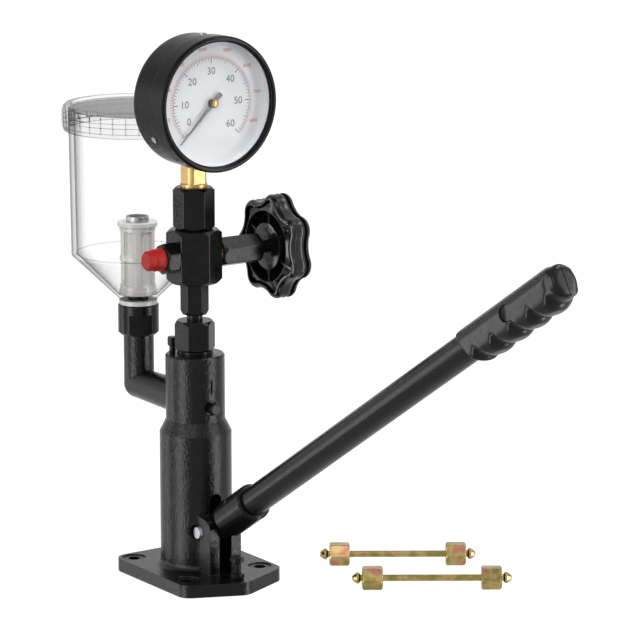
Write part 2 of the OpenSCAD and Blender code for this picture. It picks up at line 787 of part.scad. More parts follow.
module outlet_cap() {
    end_r = cap_r - 0.8;
    color(red_tone) valve_frame() to_left() translate([0, 0, cap_x]) difference() {
        rotate_extrude() polygon([[0, 0], [cap_r + 0.5, 0], [cap_r + 0.5, 1.2], [cap_r, 1.2],
            [cap_r - 0.2, cap_l * 0.52], [end_r, cap_l * 0.58], [end_r - 0.3, cap_l - 1.2],
            [end_r - 1.5, cap_l], [0, cap_l]]);
        translate([0, 0, -over]) cylinder(r = outlet_r + run_gap, h = outlet_thread_l + over);
    }
}

module bonnet_washer() {
    color(brass_tone) valve_frame() to_right() translate([0, 0, block_x])
        ring(port_r + 0.6, port_r - 0.5, washer_t);
}

module valve_bonnet() {
    color(steel_black) valve_frame() to_right() difference() {
        union() {
            translate([0, 0, port_floor + seal_t]) cylinder(r = port_r - 0.6, h = bonnet_x - port_floor);
            translate([0, 0, bonnet_x]) rotate(bonnet_turn) hex_bar(bonnet_af, bonnet_l, 3, 1.5);
        }
        cylinder(r = stem_r + run_gap, h = bonnet_end + over);
    }
}

module stem_seal() {
    color(plastic_black) valve_frame() to_right() translate([0, 0, port_floor])
        ring(port_r - fit_gap, stem_r + run_gap, seal_t);
}

module valve_stem() {
    cone_l = 3.6;
    tap_l = 12;
    color(steel_black) valve_frame() to_right() difference() {
        union() {
            translate([0, 0, port_floor - 1]) cylinder(r1 = needle_r - 0.8, r2 = needle_r - run_gap, h = 1);
            translate([0, 0, port_floor]) cylinder(r1 = needle_r - run_gap, r2 = stem_r, h = cone_l);
            translate([0, 0, port_floor + cone_l]) cylinder(r = stem_r, h = stem_end - port_floor - cone_l);
        }
        translate([0, 0, stem_end - tap_l]) cylinder(r = knob_screw_r + run_gap, h = tap_l + over);
    }
}

module knob_outline() {
    step = 360 / knob_lobes;
    lobe_c = knob_r - lobe_r;
    // Hollows lie between the lobes and run into them without a corner
    waist = knob_r - hollow_deep;
    reach = lobe_c * cos(step / 2);
    hollow_r = (pow(lobe_c, 2) + pow(waist, 2) - 2 * reach * waist - pow(lobe_r, 2))
        / (2 * (reach + lobe_r - waist));
    hollow_c = waist + hollow_r;
    share = lobe_r / (lobe_r + hollow_r);
    function touch(i, side) = (1 - share) * polar(lobe_c, i * step)
        + share * polar(hollow_c, i * step + side * step / 2);
    difference() {
        union() {
            polygon([for (i = [0:knob_lobes - 1]) each [touch(i, -1), touch(i, 1)]]);
            for (i = [0:knob_lobes - 1]) translate(polar(lobe_c, i * step)) circle(lobe_r);
        }
        for (i = [0:knob_lobes - 1]) translate(polar(hollow_c, (i + 0.5) * step)) circle(hollow_r);
    }
}

module hand_knob() {
    edge = 4;
    ribs = 6;
    rib_t = 1.8;
    rib_set = 3;
    color(plastic_black) valve_frame() to_right() translate([0, 0, knob_x]) difference() {
        intersection() {
            rotate(knob_set) linear_extrude(knob_t) knob_outline();
            rotate_extrude() union() {
                translate([0, edge]) square([knob_r + over, knob_t - 2 * edge]);
                square([knob_r - edge, knob_t]);
                for (h = [edge, knob_t - edge]) translate([knob_r - edge, h]) circle(edge);
            }
        }
        // Ring-shaped hollow in the back, crossed by thin ribs
        difference() {
            translate([0, 0, -over]) ring(ring_in_r, hub_r, ring_depth + over);
            for (i = [0:ribs - 1]) rotate(i * 360 / ribs) translate([0, -rib_t / 2, rib_set])
                cube([ring_in_r + over, rib_t, ring_depth]);
        }
        // Hub face set back a little, bore for the stem, and the pocket for the screw's head
        translate([0, 0, -over]) cylinder(r = (hub_r + ring_in_r) / 2, h = hub_set + over);
        cylinder(r = stem_r + run_gap, h = knob_t + over);
        translate([0, 0, knob_t - pocket_h]) cylinder(r = pocket_r, h = pocket_h + over);
    }
}

module knob_screw() {
    shank_l = 10;
    washer_h = 1.2;
    head_h = 3.2;
    color(zinc) valve_frame() to_right() translate([0, 0, stem_end + run_gap]) {
        translate([0, 0, -shank_l]) cylinder(r = knob_screw_r, h = shank_l + washer_h);
        ring(pocket_r - 0.5, knob_screw_r - 0.5, washer_h);
        translate([0, 0, washer_h]) rotate_extrude() intersection() {
            translate([0, -head_h]) circle(2 * head_h);
            square([2 * head_h, head_h]);
        }
    }
}

// Gauge

module gauge_coupling() {
    color(steel_black) difference() {
        union() {
            translate([0, 0, block_top]) rotate(-3) hex_bar(coupling_af, coupling_h, 2.5, 2.5);
            translate([0, 0, block_top - port_depth + 0.5]) cylinder(r = port_r - fit_gap, h = port_depth);
        }
        cylinder(r = drill_r, h = coupling_top);
        translate([0, 0, coupling_top - thread_l - over])
            cylinder(r = thread_r + fit_gap, h = thread_l + 2 * over);
    }
}

module gauge_socket() {
    shank_h = block_inner_top - coupling_top;
    color(brass_tone) difference() {
        union() {
            translate([0, 0, coupling_top - thread_l]) cylinder(r = thread_r, h = thread_l);
            translate([0, 0, coupling_top]) cylinder(r = 10.5, h = 2.5);
            translate([0, 0, coupling_top]) intersection() {
                cylinder(r = socket_turned_r, h = shank_h);
                translate([-socket_flats / 2, -socket_flats / 2, 0])
                    cube([socket_flats, socket_flats, shank_h]);
            }
        }
        cylinder(r = drill_r, h = block_inner_top - 5);
    }
}

// Half section of a cup with a round back edge, from the left line to its open end
module case_section(left, r, back, edge, end) {
    translate([left, -back]) square([r - edge - left, end + back]);
    translate([left, -back + edge]) square([r - left, end + back - edge]);
    translate([r - edge, -back + edge]) circle(edge);
}

module gauge_case() {
    color(plastic_black) difference() {
        gauge_frame() rotate_extrude() difference() {
            case_section(0, case_r, case_back, case_edge, rim_z);
            case_section(-over, case_r - case_wall, case_back - case_wall, case_edge - case_wall,
                rim_z + over);
        }
        // Way in for the brass socket
        translate([0, 0, coupling_top])
            cylinder(r = socket_turned_r + fit_gap, h = gauge_z - coupling_top);
        gauge_frame() for (a = case_screw_turns) rotate(a) translate([0, 0, screw_ring_z]) to_right()
            cylinder(r = case_screw_r, h = case_r + over);
    }
}

module gauge_bezel() {
    low = 20;
    lip = 1.6;
    front = window_y + 3.4;
    bead = 2.2;
    color(plastic_black) gauge_frame() rotate_extrude() difference() {
        union() {
            translate([window_r, low + bead]) square([bezel_r - window_r, front - low - 2 * bead]);
            translate([window_r, low]) square([bezel_r - window_r - lip, front - low - bead]);
            translate([window_r + bead, front - 2 * bead]) square([bezel_r - window_r - 2 * bead, 2 * bead]);
            translate([bezel_r - lip, low + lip]) circle(lip);
            translate([bezel_r - lip, low + lip]) square([lip, bead]);
            for (x = [window_r + bead, bezel_r - bead]) translate([x, front - bead]) circle(bead);
        }
        translate([0, low - over]) square([case_r + fit_gap, window_y + 0.05 - low + over]);
    }
}

module gauge_window() {
    color(clear_tone) gauge_frame() translate([0, 0, rim_z]) cylinder(r = case_r - 0.4, h = window_t);
}

module gauge_dial() {
    color(white_tone) gauge_frame() translate([0, 0, dial_z])
        ring(case_r - case_wall - 0.2, 3, dial_t);
}

module gauge_pointer() {
    // Zero stands at the lower left, so the pointer is drawn along the dial's 225 degree ray
    color(plastic_black) gauge_frame() translate([0, 0, hand_z]) difference() {
        union() {
            rotate(225) linear_extrude(0.8) polygon([[-10, -2], [0, -1.4], [pointer_l, -0.3],
                [pointer_l, 0.3], [0, 1.4], [-10, 2]]);
            cylinder(r = 3.6, h = 2);
        }
        translate([0, 0, -over]) cylinder(r = arbor_r, h = over + 1.2);
    }
}

module pointer_pinion() {
    color(brass_tone) gauge_frame() {
        translate([0, 0, gear_z]) linear_extrude(gear_t)
            polygon([for (i = [0:pinion_teeth - 1])
                each tooth_points(pinion_teeth, -90 + (i + 0.5) * 360 / pinion_teeth)]);
        translate([0, 0, frame_back_z - 0.5]) cylinder(r = arbor_r, h = hand_z + 1.2 - frame_back_z + 0.5);
    }
}

module sector_gear() {
    first = -13;
    last = 2;
    step = 360 / sector_teeth;
    color(brass_tone) gauge_frame() translate([0, -gear_distance, gear_z]) {
        linear_extrude(gear_t) {
            polygon(concat([[0, 0]],
                [for (i = [first:last]) each tooth_points(sector_teeth, 90 + i * step)]));
            circle(4);
            rotate(-105) translate([0, -1.8]) square([10, 3.6]);
        }
        translate([0, 0, frame_back_z - gear_z - 0.5])
            cylinder(r = arbor_r + 0.3, h = frame_gap + 2 * plate_t + 1);
    }
}

module movement_frame() {
    low = block_inner_top - gauge_z;
    plate = [[-pillar_x - 4, pillar_y - 5], [-8, low], [8, low], [pillar_x + 4, pillar_y - 5],
        [pillar_x + 4, pillar_y + 5], [6, 7], [-6, 7], [-pillar_x - 4, pillar_y + 5]];
    color(brass_tone) gauge_frame() difference() {
        union() {
            for (h = [frame_back_z, frame_back_z + plate_t + frame_gap])
                translate([0, 0, h]) linear_extrude(plate_t) polygon(plate);
            for (side = [-1, 1]) translate([side * pillar_x, pillar_y, frame_back_z])
                cylinder(r = 2.2, h = dial_z - frame_back_z);
        }
        cylinder(r = arbor_r + run_gap, h = dial_z);
        translate([0, -gear_distance, 0]) cylinder(r = arbor_r + 0.3 + run_gap, h = dial_z);
    }
}

bourdon_start = -78;
module bourdon_tube() {
    tube_path_r = 38;
    color(brass_tone) gauge_frame() translate([0, 0, -4]) rotate(bourdon_start)
        rotate_extrude(angle = 245) translate([tube_path_r, 0]) {
            square([3, 6], center = true);
            for (side = [-1, 1]) translate([0, side * 3]) circle(1.5);
        }
}

module gauge_case_screws() {
    shank_l = 3.5;
    head_h = 1.4;
    color(zinc) gauge_frame() for (a = case_screw_turns) rotate(a)
        translate([0, 0, screw_ring_z]) to_right() {
            translate([0, 0, case_r - shank_l])
                cylinder(r = case_screw_r - fit_gap, h = shank_l + head_h / 2);
            translate([0, 0, case_r]) cylinder(r = case_screw_r + 1.1, h = head_h);
        }
}

// Fuel cup

module reservoir_neck() {
    color(steel_black) cup_frame() difference() {
        union() {
            difference() {
                translate([0, 0, riser_top]) rotate_extrude()
                    polygon([[0, 0], [neck_r - 2, 0], [neck_r, 2], [neck_r, neck_h - 0.6],
                        [neck_r - 0.6, neck_h], [0, neck_h]]);
                for (side = [0, 180]) rotate(-115 + side)
                    translate([neck_flats / 2, -neck_r, riser_top - over])
                        cube([neck_r, 2 * neck_r, neck_flat_h + over]);
            }
            translate([0, 0, riser_top - spigot_l + over])
                cylinder(r = spigot_r - fit_gap, h = neck_top + spigot_up - riser_top + spigot_l - over);
        }
        translate([0, 0, riser_top - spigot_l])
            cylinder(r = neck_bore_r, h = neck_h + spigot_l + spigot_up + over);
    }
}

module neck_gasket() {
    color(white_tone) cup_frame() translate([0, 0, neck_top]) ring(neck_r - 1, spigot_r, gasket_t);
}

module reservoir_cup() {
    inner_low = cup_low_r - cup_wall;
    color(clear_tone) cup_frame() rotate_extrude()
        polygon([[spigot_r, cup_z], [cup_foot_r, cup_z], [cup_foot_r + 1.5, cup_z + 2],
            [cup_low_r, cone_top], [cup_r, cup_top], [cup_r - cup_wall, cup_top],
            [inner_low, cone_top + 1], [cup_foot_r + 1, cup_z + cup_floor], [spigot_r, cup_z + cup_floor]]);
}

module reservoir_cap() {
    skirt_low = lid_top - lid_h;
    rib_r = 1.5;
    mouth_r = cup_r + free_gap;
    color(clear_tone) cup_frame() difference() {
        union() {
            rotate_extrude() polygon([[0, skirt_low], [lid_skirt_r - 0.8, skirt_low],
                [lid_skirt_r, skirt_low + 0.8], [lid_skirt_r, lid_top - 1.5],
                [lid_skirt_r - 1.5, lid_top], [0, lid_top]]);
            for (i = [0:lid_ribs - 1]) rotate(i * 360 / lid_ribs)
                translate([lid_r - rib_r, 0, skirt_low + 2.5]) cylinder(r = rib_r, h = lid_h - 6);
        }
        translate([0, 0, skirt_low - over]) cylinder(r = mouth_r, h = cup_top + free_gap - skirt_low + over);
        translate([0, 0, lid_top - 2]) cylinder(r = lid_skirt_r - 6, h = 2 + over);
    }
}

module filter_body() {
    band = 4;
    window_h = (filter_h - filter_base_h - filter_top_h - 3 * band) / 2;
    color(white_tone) cup_frame() translate([0, 0, filter_z]) difference() {
        union() {
            cylinder(r = filter_r + 0.7, h = filter_base_h);
            cylinder(r = filter_r, h = filter_h);
            translate([0, 0, filter_h - filter_top_h]) cylinder(r = filter_r + 1.7, h = filter_top_h);
        }
        translate([0, 0, -over]) cylinder(r = spigot_r, h = filter_base_h + 2 * over);
        translate([0, 0, filter_base_h]) cylinder(r = filter_r - filter_wall, h = filter_room);
        for (row = [0, 1], i = [0:filter_windows - 1]) rotate((i + 0.5) * 360 / filter_windows)
            translate([0, -filter_r * 0.36, filter_base_h + band + row * (window_h + band)])
                cube([filter_r + over, filter_r * 0.72, window_h]);
    }
}

module filter_mesh() {
    color(white_tone) cup_frame() translate([0, 0, filter_z + filter_base_h])
        ring(filter_r - filter_wall, filter_r - filter_wall - 0.5, filter_room);
}

module filter_ring() {
    ring_r = filter_r * 0.63;
    ring_h = 4.5;
    color(zinc) cup_frame() translate([0, 0, filter_z + filter_h]) difference() {
        cylinder(r = ring_r, h = ring_h);
        translate([0, 0, 1]) cylinder(r = ring_r - 2, h = ring_h);
    }
}

// Lever

module lever_rocker() {
    color(steel_black) difference() {
        union() {
            lever_frame() {
                translate([0, 0, socket_start]) rotate_extrude() polygon([[0, 0], [socket_r - 4, 0],
                    [socket_r, 5], [socket_r, socket_end - socket_start - 1.5],
                    [socket_r - 1.5, socket_end - socket_start], [0, socket_end - socket_start]]);
                side_plate(tongue_t) link_outline([0, 0], tongue_r, [0, socket_start + 2], tongue_r);
            }
            side_plate(tongue_t) {
                link_outline([-pivot_y, pivot_z], arm_h / 2, [nose_y, nose_z], arm_h / 2);
                translate([nose_y, nose_z]) circle(nose_r);
            }
        }
        translate([0, -pivot_y, pivot_z]) to_right()
            cylinder(r = pin_r + run_gap, h = 2 * lug_gap, center = true);
        lever_frame() {
            translate([0, 0, tube_start]) cylinder(r = tube_r + fit_gap, h = socket_depth + over);
            translate([0, 0, set_screw_s]) rotate(set_screw_turn) to_right()
                cylinder(r = set_screw_r, h = socket_r + over);
        }
    }
}

module lever_tube() {
    color(steel_black) lever_frame() translate([0, 0, tube_start + fit_gap])
        ring(tube_r, tube_r - tube_wall, tube_end - tube_start);
}

// Side view of the grip: a straight back, a slanted mouth and a round end
module grip_side() {
    start_r = 2;
    end_low_r = 6;
    end_top_r = 13;
    rounded_outline([[-grip_low, grip_mouth(-grip_low)], [grip_top, grip_start],
        [grip_top, grip_end], [-grip_low, grip_end]], [start_r, start_r, end_top_r, end_low_r]);
}

// Turned outline that leaves finger bumps on the lower corners, and clears the back and the sides
bump_steps = 6;
function bump_outline(i, k) = let (d = bump_pitch * (k / bump_steps - 0.5))
    [bump_crest - bump_r + sqrt(pow(bump_r, 2) - pow(d, 2)), grip_end - bump_last - i * bump_pitch + d];
module finger_bumps() {
    waist = bump_outline(0, bump_steps)[0];
    rotate_extrude() polygon(concat([[0, grip_start - over], [waist, grip_start - over]],
        [for (i = [bump_count - 1:-1:0]) for (k = [0:bump_steps - 1]) bump_outline(i, k)],
        [bump_outline(0, bump_steps), [waist, grip_end + over], [0, grip_end + over]]));
}

module lever_grip() {
    low_corner = 9;
    top_corner = grip_w / 2 - 0.75;
    plan_corner = 10;
    plan_end = grip_end + 0.4;
    mouth_corner = 3;
    dimple_r = 13.3;
    dimple_deep = 2;
    half_w = grip_w / 2;
    color(plastic_black) lever_frame() difference() {
        intersection() {
            side_plate(grip_w + over) grip_side();
            translate([0, 0, grip_start - over]) linear_extrude(grip_l + 2 * over)
                rounded_outline([[-half_w, -grip_low], [half_w, -grip_low],
                    [half_w, grip_top], [-half_w, grip_top]],
                    [low_corner, low_corner, top_corner, top_corner]);
            rotate([90, 0, 0]) linear_extrude(3 * grip_w, center = true)
                rounded_outline([[-half_w, grip_start - over], [half_w, grip_start - over],
                    [half_w, plan_end], [-half_w, plan_end]],
                    [mouth_corner, mouth_corner, plan_corner, plan_corner]);
            finger_bumps();
        }
        translate([0, 0, tube_start]) cylinder(r = tube_r + fit_gap, h = tube_end - tube_start + 2 * fit_gap);
        for (side = [-1, 1])
            translate([side * (half_w + dimple_r - dimple_deep), 0, grip_start + dimple_l]) sphere(dimple_r);
    }
}

module lever_set_screw() {
    color(zinc) lever_frame() translate([0, 0, set_screw_s]) rotate(set_screw_turn) to_right()
        translate([0, 0, tube_r + fit_gap]) difference() {
            cylinder(r = set_screw_r - fit_gap, h = socket_r - tube_r - 0.8);
            translate([0, 0, 1]) cylinder(r = 1.4, h = 5, $fn = 6);
        }
}

module pivot_pin() {
    color(zinc) translate([0, -pivot_y, pivot_z]) to_left() difference() {
        union() {
            translate([0, 0, -pin_half - 4]) cylinder(r = pin_r, h = 2 * pin_half + 4);
            translate([0, 0, pin_half]) cylinder(r1 = pin_head_r, r2 = pin_head_r - 0.8, h = pin_head_h);
        }
        translate([0, 0, -pin_half - 2]) ring(pin_r + over, pin_groove_r, 1.2);
    }
}

module pivot_clip() {
    color(zinc) translate([0, -pivot_y, pivot_z]) to_left() translate([0, 0, -pin_half - 1.9]) difference() {
        cylinder(r = pin_head_r + 0.6, h = 1);
        translate([0, 0, -over]) cylinder(r = pin_groove_r + fit_gap, h = 1 + 2 * over);
        translate([0, -1.8, -over]) cube([2 * pin_head_r, 3.6, 1 + 2 * over]);
    }
}

module stop_screw() {
    head_h = 4.1;
    color(steel_black) translate([0, -stop_y, 0]) union() {
        translate([0, 0, 1.5]) cylinder(r = stop_r, h = stop_top - head_h - 1.5);
        translate([0, 0, stop_top - head_h]) hex_bar(stop_af, head_h, 0, 1);
    }
}

module stop_nut() {
    nut_h = 4;
    color(steel_black) translate([0, -stop_y, base_t]) difference() {
        hex_bar(stop_af, nut_h, 0.8, 0.8);
        translate([0, 0, -over]) cylinder(r = stop_r + fit_gap, h = nut_h + 2 * over);
    }
}

// Test pipes

module pipe_place(x, y) { translate([x, y, pipe_z]) rotate(pipe_turn) to_right() children(); }

// A pipe end: a cone that seats in a fitting, and the collar that the nut bears on
module pipe_end() {
    rotate_extrude() polygon([[0, 0], [1.6, 0], [2.6, 1], [olive_r, 3.6], [olive_r, 5.2], [pipe_r, 6.4],
        [pipe_r, pipe_cone_l], [0, pipe_cone_l]]);
}

module test_pipe(x, y) {
    color(yellow_zinc) pipe_place(x, y) difference() {
        union() {
            pipe_end();
            translate([0, 0, pipe_l]) mirror([0, 0, 1]) pipe_end();
            translate([0, 0, pipe_cone_l - over]) cylinder(r = pipe_r, h = pipe_l - 2 * (pipe_cone_l - over));
        }
        translate([0, 0, -over]) cylinder(r = 0.9, h = pipe_l + 2 * over);
    }
}

module pipe_nut(x, y, from_far_end) {
    color(yellow_zinc) pipe_place(x, y) translate([0, 0, from_far_end ? pipe_l : 0])
        mirror([0, 0, from_far_end ? 1 : 0]) translate([0, 0, pipe_end_l]) difference() {
            hex_bar(pipe_nut_af, pipe_nut_l, 1.2, 1.2);
            translate([0, 0, -over]) cylinder(r = nut_bore_r, h = pipe_nut_l - nut_floor + over);
            cylinder(r = pipe_r + free_gap, h = pipe_nut_l + over);
        }
}

module test_pipe_1() { test_pipe(pipe_1_x, pipe_1_y); }
module pipe_1_nut_a() { pipe_nut(pipe_1_x, pipe_1_y, false); }
module pipe_1_nut_b() { pipe_nut(pipe_1_x, pipe_1_y, true); }
module test_pipe_2() { test_pipe(pipe_2_x, pipe_2_y); }
module pipe_2_nut_a() { pipe_nut(pipe_2_x, pipe_2_y, false); }
module pipe_2_nut_b() { pipe_nut(pipe_2_x, pipe_2_y, true); }

pump_body();
pump_barrel();
plunger();
tappet();
plunger_spring();
barrel_screw();
bleed_screw();
delivery_seat();
delivery_ball();
delivery_spring();
delivery_holder();
union_nut();
valve_nipple();
valve_block();
outlet_nipple();
outlet_cap();
bonnet_washer();
valve_bonnet();
stem_seal();
valve_stem();
hand_knob();
knob_screw();
gauge_coupling();
gauge_socket();
gauge_case();
gauge_bezel();
gauge_window();
gauge_dial();
gauge_pointer();
pointer_pinion();
sector_gear();
movement_frame();
bourdon_tube();
gauge_case_screws();
reservoir_neck();
neck_gasket();
reservoir_cup();
reservoir_cap();
filter_body();
filter_mesh();
filter_ring();
lever_rocker();
lever_tube();
lever_grip();
lever_set_screw();
pivot_pin();
pivot_clip();
stop_screw();
stop_nut();
test_pipe_1();
pipe_1_nut_a();
pipe_1_nut_b();
test_pipe_2();
pipe_2_nut_a();
pipe_2_nut_b();
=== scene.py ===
import math
from contextlib import contextmanager

import bmesh
import bpy
from bpy.props import FloatProperty, FloatVectorProperty, IntProperty, PointerProperty
from mathutils import Matrix, Vector


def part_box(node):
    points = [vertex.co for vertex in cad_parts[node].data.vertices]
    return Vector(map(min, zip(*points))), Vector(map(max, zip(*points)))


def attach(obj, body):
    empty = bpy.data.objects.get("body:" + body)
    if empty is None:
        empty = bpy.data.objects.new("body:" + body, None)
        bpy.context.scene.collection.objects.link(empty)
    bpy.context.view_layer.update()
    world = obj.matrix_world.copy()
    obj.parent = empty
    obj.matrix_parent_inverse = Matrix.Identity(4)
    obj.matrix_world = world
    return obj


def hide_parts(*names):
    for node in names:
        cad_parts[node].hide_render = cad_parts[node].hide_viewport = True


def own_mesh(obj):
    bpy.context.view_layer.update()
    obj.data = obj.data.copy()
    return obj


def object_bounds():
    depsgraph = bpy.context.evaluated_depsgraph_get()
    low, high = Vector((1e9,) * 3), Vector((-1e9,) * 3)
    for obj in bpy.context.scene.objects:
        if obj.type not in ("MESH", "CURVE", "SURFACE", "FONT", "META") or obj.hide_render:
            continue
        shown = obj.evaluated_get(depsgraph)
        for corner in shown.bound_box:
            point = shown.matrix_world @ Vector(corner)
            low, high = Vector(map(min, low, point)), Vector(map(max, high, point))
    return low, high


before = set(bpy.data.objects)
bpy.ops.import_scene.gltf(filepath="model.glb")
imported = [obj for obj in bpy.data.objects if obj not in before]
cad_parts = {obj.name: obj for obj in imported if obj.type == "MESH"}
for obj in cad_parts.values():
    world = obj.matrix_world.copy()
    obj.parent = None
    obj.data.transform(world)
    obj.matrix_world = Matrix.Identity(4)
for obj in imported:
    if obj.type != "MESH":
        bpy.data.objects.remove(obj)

bl_info = {
    "name": "Injector tester looks",
    "version": (1, 0, 0),
    "blender": (4, 5, 0),
    "location": "View3D > Sidebar > Tester",
    "description": "Dresses the injector tester: finishes, knob, grip, dial print and stage",
    "category": "Object",
}

CAD_BOX = [list(corner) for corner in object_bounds()]
FINISHES = {}


def colour(name, description, default):
    """A colour that the user may change."""
    return FloatVectorProperty(name=name, description=description, default=default,
                               subtype="COLOR", size=3, min=0.0, max=1.0)


def length(name, description, default):
    """A length that the user may change."""
    return FloatProperty(name=name, description=description, default=default,
                         unit="LENGTH", precision=5)


def angle(name, description, degrees):
    """An angle that the user may change."""
    return FloatProperty(name=name, description=description, default=math.radians(degrees),
                         subtype="ANGLE")


def count(name, description, default):
    """A whole number that the user may change."""
    return IntProperty(name=name, description=description, default=default, min=1)


def power(name, description, default):
    """The power of a light that the user may change."""
    return FloatProperty(name=name, description=description, default=default, subtype="POWER")


class TesterColours(bpy.types.PropertyGroup):
    """Colours of the finishes"""

    paint: colour("Cast paint", "Black paint over the rough casting", (0.002, 0.002, 0.0023))
    oxide: colour("Black oxide", "Blackened steel of the fittings", (0.006, 0.006, 0.0065))
    tube_black: colour("Lever black", "Satin coat of the lever tube", (0.004, 0.004, 0.0045))
    zinc: colour("Bright zinc", "Screws, springs and pins", (0.29, 0.295, 0.305))
    brass: colour("Brass", "Gauge socket and washers", (0.36, 0.235, 0.085))
    knob: colour("Knob plastic", "Glossy moulding of the star knob", (0.004, 0.004, 0.0045))
    grip: colour("Grip plastic", "Semi-gloss moulding of the grip", (0.004, 0.004, 0.0045))
    case: colour("Gauge black", "Paint of the gauge case and its rim", (0.004, 0.004, 0.0045))
    clear: colour("Clear plastic", "Body tint of the cup and its lid", (0.06, 0.06, 0.065))
    glass: colour("Gauge window", "Tint of the gauge window", (0.55, 0.57, 0.60))
    dial: colour("Dial white", "Ground of the dial", (0.92, 0.935, 0.96))
    print_dark: colour("Dark print", "Inner scale of the dial", (0.035, 0.037, 0.045))
    print_red: colour("Red print", "Outer scale of the dial", (0.62, 0.10, 0.13))
    pointer: colour("Pointer grey", "Paint of the pointer", (0.06, 0.062, 0.068))
    red: colour("Red plastic", "Dust cap on the outlet", (0.56, 0.014, 0.008))
    white: colour("White plastic", "Filter cage in the cup", (0.94, 0.925, 0.88))
    rubber: colour("Rubber", "Gasket and seals", (0.018, 0.018, 0.018))
    chromate: colour("Yellow chromate", "Plating of the test pipes", (0.27, 0.20, 0.065))


class KnobSizes(bpy.types.PropertyGroup):
    """Sizes of the star knob, whose lobes are a little rounder than the solid's"""

    radius: length("Radius", "Over the lobes", 0.042)
    lobe_radius: length("Lobe radius", "Roundness of a lobe", 0.011)
    hollow: length("Hollow depth", "How far the hollows lie inside the lobes", 0.0060)
    hub_radius: length("Hub radius", "Boss round the stem", 0.0186)
    ring_radius: length("Ring radius", "Outside of the ring-shaped recess", 0.0278)
    ring_depth: length("Ring depth", "Depth of the ring-shaped recess", 0.012)
    hub_set: length("Hub set", "How far the hub lies behind the back face", 0.001)
    bore: length("Bore", "Radius of the hole for the stem", 0.00505)
    pocket: length("Pocket radius", "Recess for the screw's head", 0.009)
    pocket_depth: length("Pocket depth", "Depth of that recess", 0.006)
    rounding: length("Edge rounding", "Radius of the rims", 0.0042)
    groove: length("Parting line", "Depth of the line half way through", 0.00008)
    rib: length("Rib", "Thickness of the ribs across the ring", 0.0018)
    rib_set: length("Rib set", "How far the ribs lie inside the back face", 0.0031)
    rib_root: length("Rib root", "How far a rib reaches into the walls beside it", 0.001)
    rib_sink: length("Rib sink", "How far a rib reaches into the floor of the ring", 0.0003)
    rib_edge: length("Rib edge", "Rounding of the ribs", 0.0004)
    ribs: count("Ribs", "Number of ribs", 6)
    lobes: count("Lobes", "Number of lobes", 7)
    set_angle: angle("Set", "Turn of the first lobe", 86)


class DialSizes(bpy.types.PropertyGroup):
    """Sizes of the print on the dial"""

    sweep: angle("Sweep", "Angle of the whole scale", 270)
    start: angle("Start", "Direction of zero", 225)
    zero_set: FloatProperty(name="Zero set", subtype="FACTOR", default=0.045, min=0.0, max=0.1,
                            description="How far along the scale the zero's figure stands, "
                            "clear of the pointer")
    tick_in: length("Inner tick", "Radius where the dark ticks start", 0.0305)
    half_in: length("Half tick", "Radius where the ticks half way start", 0.0315)
    fine_in: length("Fine tick", "Radius where the fine ticks start", 0.0323)
    tick_out: length("Outer tick", "Radius where the dark ticks end", 0.0345)
    number_radius: length("Number radius", "Radius of the large numbers", 0.0243)
    number_height: length("Number height", "Height of the large numbers", 0.0078)
    red_in: length("Red tick start", "Radius where the red ticks start", 0.0356)
    red_out: length("Red tick end", "Radius where the red ticks end", 0.0374)
    red_radius: length("Red number radius", "Radius of the small red numbers", 0.0420)
    red_height: length("Red number height", "Height of the small red numbers", 0.0036)
    figures: count("Figures", "Large numbers after the zero", 6)
    figure_step: count("Figure step", "From one large number to the next", 10)
    red_step: count("Red step", "From one red number to the next", 1000)
    red_full: FloatProperty(name="Red end", description="Value at the end of the red scale",
                            default=8701.8)
    dark_lift: length("Dark lift", "Height of the dark print over the dial", 0.00004)
    red_lift: length("Red lift", "Height of the red print over the dial", 0.00005)
    line: length("Line", "Width of a fine line", 0.00032)
    rim_gap: length("Rim gap", "Between the white ring and the edge of the dial", 0.0003)
    rim_wall: length("Rim wall", "Thickness of the white ring round the dial", 0.0011)
    bold: length("Bold line", "Width of a bold line", 0.00062)


